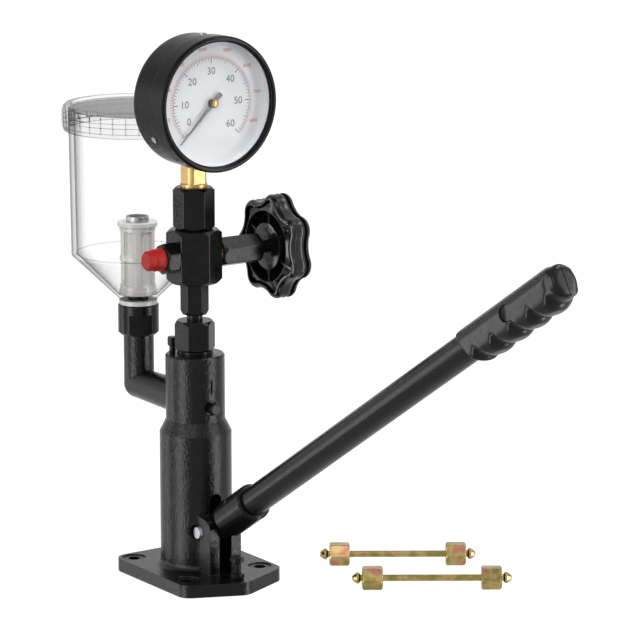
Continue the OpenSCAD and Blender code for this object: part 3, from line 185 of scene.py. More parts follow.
class PieceSizes(bpy.types.PropertyGroup):
    """Sizes of the smaller remodelled pieces"""

    grip_voxel: length("Grip voxel", "Grid of the grip's smooth skin", 0.00055)
    grip_smooth: count("Grip smoothing", "Passes over the grip's skin", 55)
    end_wide: length("End width", "Half the width of the grip's oval end", 0.0108)
    end_high: length("End height", "Half the height of the grip's oval end", 0.0128)
    end_root: length("End root", "How far the end reaches into the rest of the grip", 0.016)
    end_round: length("End rounding", "Radius of the end's rim", 0.0032)
    end_drop: length("End drop", "How far the end lies below the tube's axis", 0.0010)
    dimple: length("Dimple radius", "Round hollow in the grip's sides", 0.0062)
    dimple_deep: length("Dimple depth", "Depth of that hollow", 0.0024)
    dimple_back: length("Dimple place", "From the grip's end to the middle of the hollow", 0.0574)
    plunger_travel: length("Plunger travel", "How far the return spring shortens", 0.0147)
    ball_travel: length("Ball travel", "How far the delivery spring shortens", 0.0013)
    lid_rib: length("Lid rib", "Width of the lines round the lid", 0.0008)
    lid_lines: count("Lid lines", "Number of lines round the lid", 36)
    lid_foot: length("Lid foot", "From the lid's lower edge to the lines", 0.0034)
    lid_head: length("Lid head", "From the lines to the lid's upper face", 0.0044)
    lid_skirt: length("Lid skirt", "How far the skirt lies inside the ribs", 0.0009)
    split: length("Split line", "Width of the line across the end", 0.0006)
    split_deep: length("Split depth", "Depth of that line", 0.0006)
    thread_shank: length("Thread shank", "Radius of the shank under the thread", 0.003)
    thread_root: length("Thread root", "How far the thread's ends reach into the shank", 0.0003)
    thread_head: length("Thread head", "Height of the screw's head over the thread", 0.0042)
    thread_crest: length("Thread crest", "How far the thread stands out of the shank", 0.00028)
    thread_pitch: length("Thread pitch", "From crest to crest", 0.001)
    ridge: length("Ridge", "Thickness of the ridge in the cup", 0.0004)
    ridge_radius: length("Ridge radius", "Radius of the ridge in the cup", 0.0486)
    ridge_height: length("Ridge height", "Height of the ridge above the floor", 0.2460)
    hub_cap: length("Hub cap", "Radius of the dome on the pointer", 0.0029)
    hub_foot: length("Hub foot", "Height of the straight wall under the dome", 0.0004)
    hub_rise: length("Hub rise", "Height of the dome", 0.0011)
    hub_flat: length("Hub flat", "Radius of the flat on top of the dome", 0.0001)


class StageSettings(bpy.types.PropertyGroup):
    """Camera and lights"""

    lens: FloatProperty(name="Lens", description="Focal length in millimetres", default=186.9)
    eye: FloatVectorProperty(name="Eye", description="Place of the camera", subtype="TRANSLATION",
                             default=(-1.3754, -2.1233, 0.7357))
    pitch: angle("Pitch", "Camera turn from straight down", 78.14)
    heading: angle("Heading", "Camera turn about the vertical", -35.14)
    left: power("Left light", "Power of the large left box", 24.0)
    rear: power("Rear light", "Power of the box behind on the left", 9.0)
    right: power("Right light", "Power of the tall right box", 22.0)
    key: power("Key light", "Power of the soft box over the camera's left", 14.0)
    top: power("Top light", "Power of the box overhead", 14.0)
    ambient: FloatProperty(name="Ambient", description="Even light from all round", default=0.68)
    floor_size: length("Floor", "Side of the square floor", 40.0)
    floor_gap: length("Floor gap", "Between the part's lowest point and the floor", 0.0002)
    floor_matt: FloatProperty(name="Floor matt", description="How much light the floor scatters",
                              subtype="FACTOR", default=0.30)
    floor_white: FloatProperty(name="Floor white", description="How bright the floor is by itself",
                               subtype="FACTOR", default=0.87)


# Finishes

def add_node(tree, kind, inputs=(), **settings):
    """A new node with its settings and the values of its inputs."""
    node = tree.nodes.new(kind)
    for key, value in settings.items():
        setattr(node, key, value)
    for key, value in dict(inputs).items():
        node.inputs[key].default_value = value
    return node


class Finish:
    """A procedural material on object coordinates, built up from noise, ranges and bumps."""

    def __init__(self, name, base, metallic=0.0, specular=0.5):
        self.material = bpy.data.materials.new(name)
        self.material.use_nodes = True
        self.tree = self.material.node_tree
        self.shader = self.tree.nodes["Principled BSDF"]
        self.shader.inputs["Base Color"].default_value = (*base, 1.0)
        self.shader.inputs["Metallic"].default_value = metallic
        self.shader.inputs["Specular IOR Level"].default_value = specular
        self.place = self.add("ShaderNodeTexCoord")
        self.normal = None
        FINISHES[name] = self.material

    def add(self, kind, inputs=(), **settings):
        return add_node(self.tree, kind, inputs, **settings)

    def link(self, source, target):
        self.tree.links.new(source, target)

    def coordinates(self, stretch=(1.0, 1.0, 1.0), origin=(0.0, 0.0, 0.0)):
        mapping = self.add("ShaderNodeMapping", {"Scale": stretch, "Location": origin})
        self.link(self.place.outputs["Object"], mapping.inputs["Vector"])
        return mapping.outputs["Vector"]

    def noise(self, size, detail=3.0, stretch=(1.0, 1.0, 1.0)):
        """Grain of about the given size in metres."""
        node = self.add("ShaderNodeTexNoise", {"Scale": 1.0 / size, "Detail": detail})
        self.link(self.coordinates(stretch), node.inputs["Vector"])
        return node.outputs["Fac"]

    def waves(self, size, axis, origin=(0.0, 0.0, 0.0)):
        """Even ridges across one axis, the given distance apart."""
        node = self.add("ShaderNodeTexWave", {"Scale": math.pi / (10.0 * size)},
                        wave_type="BANDS", bands_direction=axis, wave_profile="SIN")
        self.link(self.coordinates(origin=origin), node.inputs["Vector"])
        return node.outputs["Fac"]

    def spread(self, value, low, high):
        """The value's middle range stretched from low to high."""
        node = self.add("ShaderNodeMapRange",
                        {"From Min": 0.3, "From Max": 0.7, "To Min": low, "To Max": high})
        self.link(value, node.inputs["Value"])
        return node.outputs["Result"]

    def tint(self, value, *stops):
        """A colour from stops of (place, colour)."""
        node = self.add("ShaderNodeValToRGB")
        ramp = node.color_ramp
        while len(ramp.elements) < len(stops):
            ramp.elements.new(0.5)
        for element, (at, shade) in zip(ramp.elements, stops):
            element.position = at
            element.color = (*shade, 1.0)
        self.link(value, node.inputs["Fac"])
        return node.outputs["Color"]

    def shade(self, value, name):
        self.link(value, self.shader.inputs[name])

    def soften(self, radius):
        """Rounds the look of sharp edges."""
        node = self.add("ShaderNodeBevel", {"Radius": radius}, samples=6)
        self.normal = node.outputs["Normal"]
        self.link(self.normal, self.shader.inputs["Normal"])

    def bump(self, height, depth, strength=1.0):
        node = self.add("ShaderNodeBump", {"Distance": depth, "Strength": strength})
        self.link(height, node.inputs["Height"])
        if self.normal is not None:
            self.link(self.normal, node.inputs["Normal"])
        self.normal = node.outputs["Normal"]
        self.link(self.normal, self.shader.inputs["Normal"])

    def grain(self, dark, light, size, rough_low, rough_high):
        """Slightly uneven colour and gloss, the usual ground of a finish."""
        fac = self.noise(size, 4.0)
        self.shade(self.tint(fac, (0.3, dark), (0.75, light)), "Base Color")
        self.shade(self.spread(self.noise(size * 0.6, 5.0), rough_low, rough_high), "Roughness")


def lighter(base, share):
    """A colour moved towards white."""
    return tuple(c + (1.0 - c) * share for c in base)


def darker(base, share):
    """A colour moved towards black."""
    return tuple(c * (1.0 - share) for c in base)


def coat(name, base, grain, gloss, dark=0.0, light=0.0, soft=0.0, bumps=(),
         stretch=(1.0, 1.0, 1.0), **shader):
    """A plain finish: grain of a size, with its range of gloss, from a darker to a lighter colour.

    Edges look rounded by the soft radius. Each bump gives its size, detail, depth and strength.
    """
    finish = Finish(name, base, **shader)
    finish.grain(darker(base, dark), lighter(base, light), grain, *gloss)
    if soft > 0.0:
        finish.soften(soft)
    for size, detail, depth, strength in bumps:
        finish.bump(finish.noise(size, detail, stretch), depth, strength)
    return finish


def make_finishes(tones):
    """All materials of the tester, named for the record's slots, and a few for single pieces."""
    coat("cast_paint", tones.paint, grain=0.004, gloss=(0.15, 0.26), light=0.004, soft=0.0009,
         specular=0.18, bumps=((0.0050, 2.0, 0.0005, 0.35), (0.0015, 2.0, 0.00055, 0.75)))
    coat("black_steel", tones.oxide, grain=0.006, gloss=(0.22, 0.32), light=0.005, soft=0.0005,
         metallic=0.4, specular=0.16, bumps=((0.0009, 4.0, 0.00006, 0.5),))
    coat("lever_black", tones.tube_black, grain=0.005, gloss=(0.20, 0.28), light=0.003, soft=0.0006,
         specular=0.13, bumps=((0.0009, 3.0, 0.00004, 0.4),))
    coat("bright_steel", tones.zinc, grain=0.002, gloss=(0.36, 0.50), dark=0.08, light=0.05,
         soft=0.00015, metallic=1.0, bumps=((0.0006, 3.0, 0.00002, 0.3),))
    coat("brass", tones.brass, grain=0.004, gloss=(0.34, 0.46), dark=0.14, light=0.04, soft=0.0004,
         metallic=1.0, stretch=(1.0, 1.0, 3.0), bumps=((0.0005, 3.0, 0.00003, 0.4),))
    coat("knob_plastic", tones.knob, grain=0.008, gloss=(0.15, 0.24), light=0.006,
         specular=0.36, bumps=((0.0045, 2.0, 0.00010, 0.5), (0.0008, 2.0, 0.00002, 0.4)))
    coat("grip_plastic", tones.grip, grain=0.006, gloss=(0.20, 0.26), light=0.003,
         specular=0.17, bumps=((0.0008, 2.0, 0.00003, 0.3), (0.012, 1.0, 0.00008, 0.2)))
    coat("gauge_black", tones.case, grain=0.010, gloss=(0.18, 0.28), light=0.006, soft=0.0006,
         specular=0.08, bumps=((0.0028, 2.0, 0.00006, 0.5),))
    coat("dial_white", tones.dial, grain=0.015, gloss=(0.36, 0.5), dark=0.02, light=0.06,
         bumps=((0.0004, 2.0, 0.00001, 0.4),))
    red = coat("red_plastic", tones.red, grain=0.004, gloss=(0.40, 0.54), dark=0.08, light=0.01,
               soft=0.0008, specular=0.14, bumps=((0.0012, 3.0, 0.00008, 0.6),))
    red.shader.inputs["Subsurface Weight"].default_value = 0.15
    red.shader.inputs["Subsurface Radius"].default_value = (0.003, 0.001, 0.0005)
    coat("white_plastic", tones.white, grain=0.006, gloss=(0.32, 0.46), dark=0.06, light=0.1,
         soft=0.0005, bumps=((0.0015, 2.0, 0.00005, 0.5),))
    coat("seal_rubber", tones.rubber, grain=0.002, gloss=(0.62, 0.8), light=0.02,
         bumps=((0.0006, 3.0, 0.00005, 0.7),))
    coat("pointer_grey", tones.pointer, grain=0.003, gloss=(0.34, 0.46), light=0.04)
    make_chromate(tones)
    make_clear("clear_plastic", tones.clear, face=0.026, turn=0.28, rim=0.92)
    make_clear("ridge_plastic", tones.clear, face=0.15, turn=0.3, rim=0.5)
    make_clear("line_plastic", tones.clear, face=0.24, turn=0.36, rim=0.5)
    make_clear("lid_plastic", tones.clear, face=0.06, turn=0.36, rim=0.9)
    make_clear("gauge_glass", tones.glass, face=0.01, turn=0.02, rim=0.4)
    make_mesh_cloth(tones)
    for name, ink in (("dial_print_dark", tones.print_dark), ("dial_print_red", tones.print_red)):
        coat(name, ink, grain=0.0012, gloss=(0.45, 0.6), light=0.06)


def make_chromate(tones):
    """Yellow plating that drifts to pink and green, as thin films do."""
    plate = Finish("yellow_zinc", tones.chromate, metallic=1.0)
    base = Vector(tones.chromate)
    drift = plate.noise(0.012, 1.5)
    pink = tuple(base + Vector((0.10, -0.05, 0.035)))
    green = tuple(base + Vector((-0.11, -0.01, -0.03)))
    straw = tuple(base + Vector((0.10, 0.09, 0.05)))
    film = plate.tint(drift, (0.28, green), (0.42, tuple(base)), (0.55, straw), (0.68, pink))
    plate.shade(film, "Base Color")
    plate.shade(plate.spread(plate.noise(0.006), 0.13, 0.22), "Roughness")
    plate.soften(radius=0.0004)
    plate.bump(plate.noise(size=0.0025, detail=2.0), depth=0.00003, strength=0.3)


def make_clear(name, base, face, turn, rim):
    """Clear moulding: nearly invisible face on, darker where the wall is seen along its length."""
    clear = Finish(name, base, specular=0.04)
    weight = clear.add("ShaderNodeLayerWeight", {"Blend": 0.5})
    wall = clear.tint(weight.outputs["Facing"],
                      (0.45, (face,) * 3), (0.72, (turn,) * 3), (0.93, (rim,) * 3))
    clear.shade(wall, "Alpha")
    clear.shade(clear.spread(clear.noise(0.012), 0.04, 0.10), "Roughness")
    body = clear.tint(clear.noise(0.03), (0.3, darker(base, 0.08)), (0.7, lighter(base, 0.08)))
    clear.shade(body, "Base Color")
    clear.bump(clear.noise(size=0.009, detail=2.0), depth=0.00010, strength=0.3)


def make_mesh_cloth(tones):
    """Fine woven strainer: a grid of threads, with painted shade making the openings between them
    slightly darker.
    """
    middle = centre("filter_mesh")
    pitch = 0.0011
    cloth = Finish("strainer", tones.white)
    across = cloth.waves(pitch, "X", (-middle.x, -middle.y, 0.0))
    upward = cloth.waves(pitch, "Z")
    threads = cloth.add("ShaderNodeMath", operation="MAXIMUM")
    cloth.link(across, threads.inputs[0])
    cloth.link(upward, threads.inputs[1])
    weave = threads.outputs["Value"]
    # Painted shade: the openings between the threads are coloured darker than the threads
    thread = cloth.tint(weave, (0.5, darker(tones.white, 0.16)), (0.85, darker(tones.white, 0.02)))
    cloth.shade(thread, "Base Color")
    cloth.bump(weave, depth=0.00025, strength=0.7)


# Modelling helpers

def deselect():
    """Nothing selected, in object mode."""
    if bpy.context.object is not None and bpy.context.object.mode != "OBJECT":
        bpy.ops.object.mode_set(mode="OBJECT")
    bpy.ops.object.select_all(action="DESELECT")


def only(obj):
    """One object selected and active."""
    deselect()
    obj.select_set(True)
    bpy.context.view_layer.objects.active = obj


def apply_place(obj):
    """Moves the object's place into its mesh."""
    only(obj)
    bpy.ops.object.transform_apply(location=True, rotation=True, scale=True)


def move_to(obj, place):
    """Moves the object and its mesh."""
    obj.location = place
    apply_place(obj)


@contextmanager
def editing():
    """Edit mode with everything selected, then object mode again."""
    bpy.ops.object.mode_set(mode="EDIT")
    bpy.ops.mesh.select_all(action="SELECT")
    yield
    bpy.ops.object.mode_set(mode="OBJECT")


def modify(obj, kind, **settings):
    """Adds a modifier and applies it."""
    only(obj)
    step = obj.modifiers.new(kind.title(), kind)
    for key, value in settings.items():
        setattr(step, key, value)
    bpy.ops.object.modifier_apply(modifier=step.name)


def copy_solid(node):
    """A piece that starts as a copy of a solid."""
    obj = bpy.data.objects.new(node + "_copy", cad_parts[node].data.copy())
    bpy.context.collection.objects.link(obj)
    return obj


def join(pieces):
    """Several objects made one."""
    deselect()
    for piece in pieces:
        piece.select_set(True)
    bpy.context.view_layer.objects.active = pieces[0]
    bpy.ops.object.join()
    return bpy.context.object


def finish_piece(obj, name, body, slot, material=None):
    """Names a finished piece, attaches it to its body, and gives it its slot's finish or its own.
    """
    obj.name = name
    obj.data.name = name
    obj.data.materials.clear()
    obj.data.materials.append(FINISHES[material or slot])
    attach(obj, body)


def turned(rings, sides, shape=None):
    """A circle extruded ring by ring along Z.

    A ring gives its radius and height, and a shape makes its own radius of what the ring gives.
    """
    deselect()
    bpy.ops.mesh.primitive_circle_add(vertices=sides, radius=rings[0][0], fill_type="NOTHING",
                                      location=(0, 0, 0))
    obj = bpy.context.object
    bpy.ops.object.mode_set(mode="EDIT")
    bpy.ops.mesh.select_mode(type="VERT")
    bpy.ops.mesh.select_all(action="SELECT")
    for index, ring in enumerate(rings):
        if index > 0:
            bpy.ops.mesh.extrude_edges_move()
        mesh = bmesh.from_edit_mesh(obj.data)
        for vert in mesh.verts:
            if vert.select:
                angle = math.atan2(vert.co.y, vert.co.x)
                reach = ring[0] if shape is None else shape(angle, *ring)
                vert.co = (reach * math.cos(angle), reach * math.sin(angle), ring[1])
        bmesh.update_edit_mesh(obj.data)
    return obj


def around(first, count):
    """A piece and its copies, evenly turned about Z."""
    pieces = [first]
    for i in range(1, count):
        copy = first.copy()
        copy.data = first.data.copy()
        bpy.context.collection.objects.link(copy)
        copy.rotation_euler = (0.0, 0.0, math.tau * i / count)
        apply_place(copy)
        pieces.append(copy)
    return pieces


def bar(place, size, rounding):
    """A block with rounded edges."""
    deselect()
    bpy.ops.mesh.primitive_cube_add(size=1.0, location=place)
    obj = bpy.context.object
    obj.scale = size
    apply_place(obj)
    with editing():
        bpy.ops.mesh.bevel(offset=rounding, segments=2, affect="EDGES")
    return obj


def hoop(radius, height, thick):
    """A thin round ring about Z; thick is the radius of its section."""
    steps = 8
    rings = []
    for i in range(steps + 1):
        a = math.tau * i / steps
        rings.append((radius + thick * math.cos(a), height + thick * math.sin(a)))
    ring = turned(rings, 96)
    close_skin(ring, math.radians(60))
    return ring


def fill_ends(obj, low):
    """Closes a turned form: its last ring, still selected, and the ring below the given height."""
    bpy.ops.mesh.edge_face_add()
    bpy.ops.mesh.select_all(action="DESELECT")
    mesh = bmesh.from_edit_mesh(obj.data)
    for edge in mesh.edges:
        if all(vert.co.z < low for vert in edge.verts):
            edge.select_set(True)
    bmesh.update_edit_mesh(obj.data)
    bpy.ops.mesh.edge_face_add()


def stand(obj, place, axis, turn=math.pi / 2):
    """Turns what is modelled along Z about another axis, and moves it to its place."""
    obj.matrix_world = Matrix.Translation(place) @ Matrix.Rotation(turn, 4, axis)
    apply_place(obj)


def centre(node):
    """The middle of a solid's box."""
    low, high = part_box(node)
    return (low + high) / 2.0


def close_skin(obj, angle):
    """Merges doubles, turns the faces outwards and shades smooth up to an angle."""
    with editing():
        bpy.ops.mesh.remove_doubles(threshold=0.000002)
        bpy.ops.mesh.normals_make_consistent(inside=False)
    only(obj)
    bpy.ops.object.shade_smooth_by_angle(angle=angle)


# Operators

class TESTER_OT_finishes(bpy.types.Operator):
    """Gives every solid its procedural finish"""

    bl_idname = "tester.finishes"
    bl_label = "Finish the solids"

    own = {
        "filter_mesh": "strainer",
        "lever_tube": "lever_black",
        "lever_rocker": "lever_black",
        "reservoir_cap": "lid_plastic",
        "gauge_pointer": "pointer_grey",
        "bleed_screw": "black_steel",
        "barrel_screw": "black_steel",
    }

    def execute(self, context):
        make_finishes(context.scene.tester_colours)
        for name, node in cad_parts.items():
            slot = node.data.materials[0].name.split(".")[0]
            finish = FINISHES[self.own.get(name, slot)]
            for index in range(len(node.data.materials)):
                node.data.materials[index] = finish
        return {"FINISHED"}


class TESTER_OT_star_knob(bpy.types.Operator):
    """Models the star knob with rounded rims, a parting line and a ribbed ring behind it"""

    bl_idname = "tester.star_knob"
    bl_label = "Star knob"

    def outline(self, size):
        """The lobed rim as a function of direction and of the distance inside it."""
        step = math.tau / size.lobes
        lobe_c = size.radius - size.lobe_radius
        waist = size.radius - size.hollow
        reach = lobe_c * math.cos(step / 2)
        hollow_r = ((lobe_c ** 2 + waist ** 2 - 2 * reach * waist - size.lobe_radius ** 2)
                    / (2 * (reach + size.lobe_radius - waist)))
        hollow_c = waist + hollow_r
        turn_point = Vector((hollow_c * math.cos(step / 2), hollow_c * math.sin(step / 2)))

        def rim(angle, radius, _height, inside=None):
            if inside is None:
                return radius
            way = abs((angle - size.set_angle + step / 2) % step - step / 2)
            lobe_r = size.lobe_radius - inside
            share = lobe_r / (size.lobe_radius + hollow_r)
            touch = Vector((lobe_c, 0.0)).lerp(turn_point, share)
            if way < math.atan2(touch.y, touch.x):
                across = lobe_c * math.sin(way)
                return lobe_c * math.cos(way) + math.sqrt(lobe_r ** 2 - across ** 2)
            back = step / 2 - way
            across = hollow_c * math.sin(back)
            return hollow_c * math.cos(back) - math.sqrt((hollow_r + inside) ** 2 - across ** 2)

        return rim

    def rings(self, size, depth):
        """Profile from the bore over the back, the rim and the front, and through the bore."""
        lip = 0.0008
        floor = size.ring_depth
        middle = depth / 2
        turn = size.rounding
        steps = 7
        half_line = 0.0005
        profile = [(size.bore, size.hub_set), (size.hub_radius - lip, size.hub_set),
                   (size.hub_radius - lip * 0.3, size.hub_set + lip * 0.3),
                   (size.hub_radius, size.hub_set + lip),
                   (size.hub_radius, floor - lip), (size.hub_radius + lip, floor),
                   (size.ring_radius - lip, floor), (size.ring_radius, floor - lip),
                   (size.ring_radius, lip * 1.2), (size.ring_radius + lip * 0.35, lip * 0.35),
                   (size.ring_radius + lip * 1.2, 0.0)]
        quarter = [math.pi / 2 * i / steps for i in range(steps + 1)]
        bend = [(turn * (1 - math.sin(a)), turn * (1 - math.cos(a))) for a in quarter]
        profile += [(0.0, height, inside) for height, inside in bend]
        profile += [(0.0, middle - half_line, 0.0), (0.0, middle, size.groove),
                    (0.0, middle + half_line, 0.0)]
        profile += [(0.0, depth - height, inside) for height, inside in reversed(bend)]
        profile += [(size.pocket + lip * 1.5, depth), (size.pocket + lip * 0.4, depth - lip * 0.4),
                    (size.pocket, depth - lip * 1.5), (size.pocket, depth - size.pocket_depth),
                    (size.bore, depth - size.pocket_depth), (size.bore, size.hub_set)]
        return profile

    def ribs(self, size):
        """Thin walls across the ring: one is modelled, the rest are copies of it."""
        middle = (size.hub_radius + size.ring_radius) / 2
        wide = size.ring_radius - size.hub_radius + 2.0 * size.rib_root
        high = size.ring_depth - size.rib_set + size.rib_sink
        first = bar((middle, 0.0, size.rib_set + high / 2), (wide, size.rib, high), size.rib_edge)
        return around(first, size.ribs)

    def execute(self, context):
        size = context.scene.tester_knob
        low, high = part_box("hand_knob")
        stem = centre("valve_stem")
        knob = turned(self.rings(size, high.x - low.x), 252, self.outline(size))
        close_skin(knob, math.radians(40))
        knob = join([knob] + self.ribs(size))
        stand(knob, (low.x, stem.y, stem.z), "Y")
        finish_piece(knob, "star_knob_moulding", "star_knob", "knob_plastic")
        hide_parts("hand_knob")
        return {"FINISHED"}


class TESTER_OT_grip(bpy.types.Operator):
    """Gives the lever grip one smooth moulded skin with a rounded end, dimples and a split line"""

    bl_idname = "tester.grip"
    bl_label = "Lever grip"

    def lever_frame(self, grip):
        """Direction along the lever, its upper side, and the grip's end on the tube's axis."""
        tube_low, tube_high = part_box("lever_tube")
        run = Vector((0.0, tube_low.y - tube_high.y, tube_high.z - tube_low.z))
        thick = tube_high.x - tube_low.x
        tilt = math.atan2(run.z, -run.y)
        for _ in range(20):
            tilt = math.atan2(run.z - thick * math.cos(tilt), -run.y - thick * math.sin(tilt))
        way = Vector((0.0, -math.cos(tilt), math.sin(tilt)))
        upper = Vector((0.0, math.sin(tilt), math.cos(tilt)))
        middle = centre("lever_tube")
        reach = max((vert.co - middle).dot(way) for vert in grip.data.vertices)
        return way, upper, middle + way * reach

    def turn(self, way, upper):
        """Turns what is modelled along Z, with Y up, into the lever's direction."""
        return Matrix((upper.cross(way), upper, way)).transposed().to_4x4()

    def place(self, obj, way, upper, at):
        """Stands an object at the end of the lever."""
        obj.matrix_world = Matrix.Translation(at) @ self.turn(way, upper)
        apply_place(obj)

    def round_end(self, size, way, upper, tip):
        """Broad oval end of the grip with a rounded rim, to be fused with the rest."""
        steps = 6
        wide, root = size.end_wide, size.end_root
        rings = [(wide * 0.80, -root), (wide, -root / 2), (wide, -size.end_round)]
        for i in range(1, steps + 1):
            a = math.pi / 2 * i / steps
            rings.append((wide - size.end_round * (1 - math.cos(a)),
                          size.end_round * (math.sin(a) - 1)))
        end = turned(rings, 96)
        fill_ends(end, -0.99 * root)
        close_skin(end, math.radians(40))
        end.scale = (1.0, size.end_high / wide, 1.0)
        apply_place(end)
        self.place(end, way, upper, tip - upper * size.end_drop)
        return end

    def dimples(self, size, grip, way, tip):
        """Cuts a round hollow with a clear edge into each side."""
        low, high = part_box("lever_grip")
        wide, deep = size.dimple, size.dimple_deep
        at = tip - way * size.dimple_back
        rings = [(wide * 0.62, -deep), (wide * 0.88, -deep * 0.85), (wide, -deep * 0.4),
                 (wide, 2.0 * deep)]
        for side, face in ((-1.0, low.x), (1.0, high.x)):
            cutter = turned(rings, 48)
            fill_ends(cutter, -deep * 0.99)
            close_skin(cutter, math.radians(40))
            stand(cutter, (face, at.y, at.z), "Y", side * math.pi / 2)
            self.cut(grip, cutter)

    def cut(self, grip, cutter):
        """Takes one solid out of the grip."""
        modify(grip, "BOOLEAN", operation="DIFFERENCE", object=cutter, solver="EXACT")
        bpy.data.objects.remove(cutter)

    def split_line(self, size, grip, way, upper, tip):
        """Cuts the fine line where the two halves of the moulding meet, across the end."""
        deselect()
        bpy.ops.mesh.primitive_cube_add(size=1.0)
        blade = bpy.context.object
        blade.scale = (size.split, 2.4 * size.end_high, 2.0 * size.split_deep)
        apply_place(blade)
        self.place(blade, way, upper, tip - upper * size.end_drop)
        self.cut(grip, blade)

    def execute(self, context):
        size = context.scene.tester_pieces
        grip = copy_solid("lever_grip")
        only(grip)
        bpy.ops.mesh.customdata_custom_splitnormals_clear()
        with editing():
            bpy.ops.mesh.remove_doubles(threshold=0.00002)
        way, upper, tip = self.lever_frame(grip)
        grip = join([grip, self.round_end(size, way, upper, tip)])
        # The skin's grid follows the grip, so its flat sides stay flat
        grip.matrix_world = self.turn(way, upper).inverted()
        apply_place(grip)
        modify(grip, "REMESH", mode="VOXEL", voxel_size=size.grip_voxel)
        modify(grip, "SMOOTH", factor=0.5, iterations=size.grip_smooth)
        grip.matrix_world = self.turn(way, upper)
        apply_place(grip)
        self.split_line(size, grip, way, upper, tip)
        self.dimples(size, grip, way, tip)
        only(grip)
        bpy.ops.object.shade_smooth_by_angle(angle=math.radians(50))
        finish_piece(grip, "lever_grip_moulding", "pump_lever", "grip_plastic")
        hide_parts("lever_grip")
        return {"FINISHED"}


class TESTER_OT_dial_print(bpy.types.Operator):
    """Prints the two scales on the dial"""

    bl_idname = "tester.dial_print"
    bl_label = "Dial print"

    def mark(self, size, radius, tall, wide):
        """A flat mark where the scale starts."""
        deselect()
        bpy.ops.mesh.primitive_plane_add(size=1.0, location=self.zero(size) * radius,
                                         rotation=(0, 0, size.start))
        mark = bpy.context.object
        mark.scale = (tall, wide, 1.0)
        apply_place(mark)
        return mark

    def zero(self, size):
        """Direction of the start of the scale."""
        return Vector((math.cos(size.start), math.sin(size.start), 0.0))

    def along(self, size, steps, copies):
        """Spins what is selected over the scale, as copies or as a band."""
        bpy.ops.mesh.spin(steps=steps, dupli=copies, angle=size.sweep,
                          center=(0, 0, 0), axis=(0, 0, 1))

    def ticks(self, size, inner, outer, width, spaces):
        """A row of ticks: the first is drawn at zero, spin copies it along the scale."""
        row = self.mark(size, (inner + outer) / 2, outer - inner, width)
        with editing():
            self.along(size, spaces, True)
        return row

    def arc(self, size, radius, width):
        """A fine line along the scale: a short edge spun over the sweep."""
        line = self.mark(size, radius, width, width)
        direction = self.zero(size)
        side = Vector((direction.y, -direction.x, 0.0))
        with editing():
            bpy.ops.mesh.select_mode(type="EDGE")
            bpy.ops.mesh.select_all(action="DESELECT")
            mesh = bmesh.from_edit_mesh(line.data)
            best = max(mesh.edges, key=lambda e: ((e.verts[0].co + e.verts[1].co) / 2).dot(side))
            best.select_set(True)
            bmesh.update_edit_mesh(line.data)
            self.along(size, 120, False)
        return line

    def number(self, value, size, radius, height, share):
        """A plain number set upright at its place on the scale."""
        deselect()
        angle = size.start - size.sweep * share
        bpy.ops.object.text_add(location=(radius * math.cos(angle), radius * math.sin(angle), 0.0))
        figure = bpy.context.object
        figure.data.body = str(value)
        figure.data.size = height
        figure.data.align_x = "CENTER"
        figure.data.align_y = "CENTER"
        bpy.ops.object.convert(target="MESH")
        figure = bpy.context.object
        apply_place(figure)
        return figure

    def lay(self, pieces, name, material, lift):
        """Joins one colour's print and lays it on the dial, facing the front."""
        layer = join(pieces)
        with editing():
            mesh = bmesh.from_edit_mesh(layer.data)
            for face in mesh.faces:
                if face.normal.z < 0.0:
                    face.normal_flip()
            bmesh.update_edit_mesh(layer.data)
        middle = centre("gauge_dial")
        stand(layer, (middle.x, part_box("gauge_dial")[0].y - lift, middle.z), "X")
        finish_piece(layer, name, "tester", "dial_white", material)

    def execute(self, context):
        size = context.scene.tester_dial
        spaces = size.figures
        dark = [self.ticks(size, size.tick_in, size.tick_out, size.bold, spaces),
                self.ticks(size, size.half_in, size.tick_out, size.line * 1.3, 2 * spaces),
                self.ticks(size, size.fine_in, size.tick_out, size.line, 10 * spaces),
                self.arc(size, size.tick_out, size.line)]
        for i in range(size.figures + 1):
            share = i / size.figures if i > 0 else size.zero_set
            value = i * size.figure_step
            dark.append(self.number(value, size, size.number_radius, size.number_height, share))
        self.lay(dark, "dial_scale_dark", "dial_print_dark", size.dark_lift)
        red = [self.ticks(size, size.red_in, size.red_out, size.line, int(size.red_full // 100)),
               self.arc(size, size.red_in, size.line)]
        for value in range(size.red_step, int(size.red_full), size.red_step):
            share = value / size.red_full
            red.append(self.number(value, size, size.red_radius, size.red_height, share))
        self.lay(red, "dial_scale_red", "dial_print_red", size.red_lift)
        return {"FINISHED"}


class TESTER_OT_dial_rim(bpy.types.Operator):
    """Models the white spacer ring between the dial and the window"""

    bl_idname = "tester.dial_rim"
    bl_label = "Dial rim"

    def execute(self, context):
        size = context.scene.tester_dial
        dial_low, dial_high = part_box("gauge_dial")
        middle = centre("gauge_dial")
        outer = (dial_high.x - dial_low.x) / 2.0 - size.rim_gap
        inner = outer - size.rim_wall
        window_gap = 0.0002
        depth = dial_low.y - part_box("gauge_window")[1].y - window_gap
        edge = size.rim_wall * 0.4
        rings = [(outer, 0.0), (outer, depth - edge), (outer - edge, depth), (inner + edge, depth),
                 (inner, depth - edge), (inner, edge), (inner + edge, 0.0), (outer, 0.0)]
        rim = turned(rings, 128)
        close_skin(rim, math.radians(35))
        lift = 0.00005
        stand(rim, (middle.x, dial_low.y - lift, middle.z), "X")
        finish_piece(rim, "dial_rim", "tester", "dial_white")
        return {"FINISHED"}


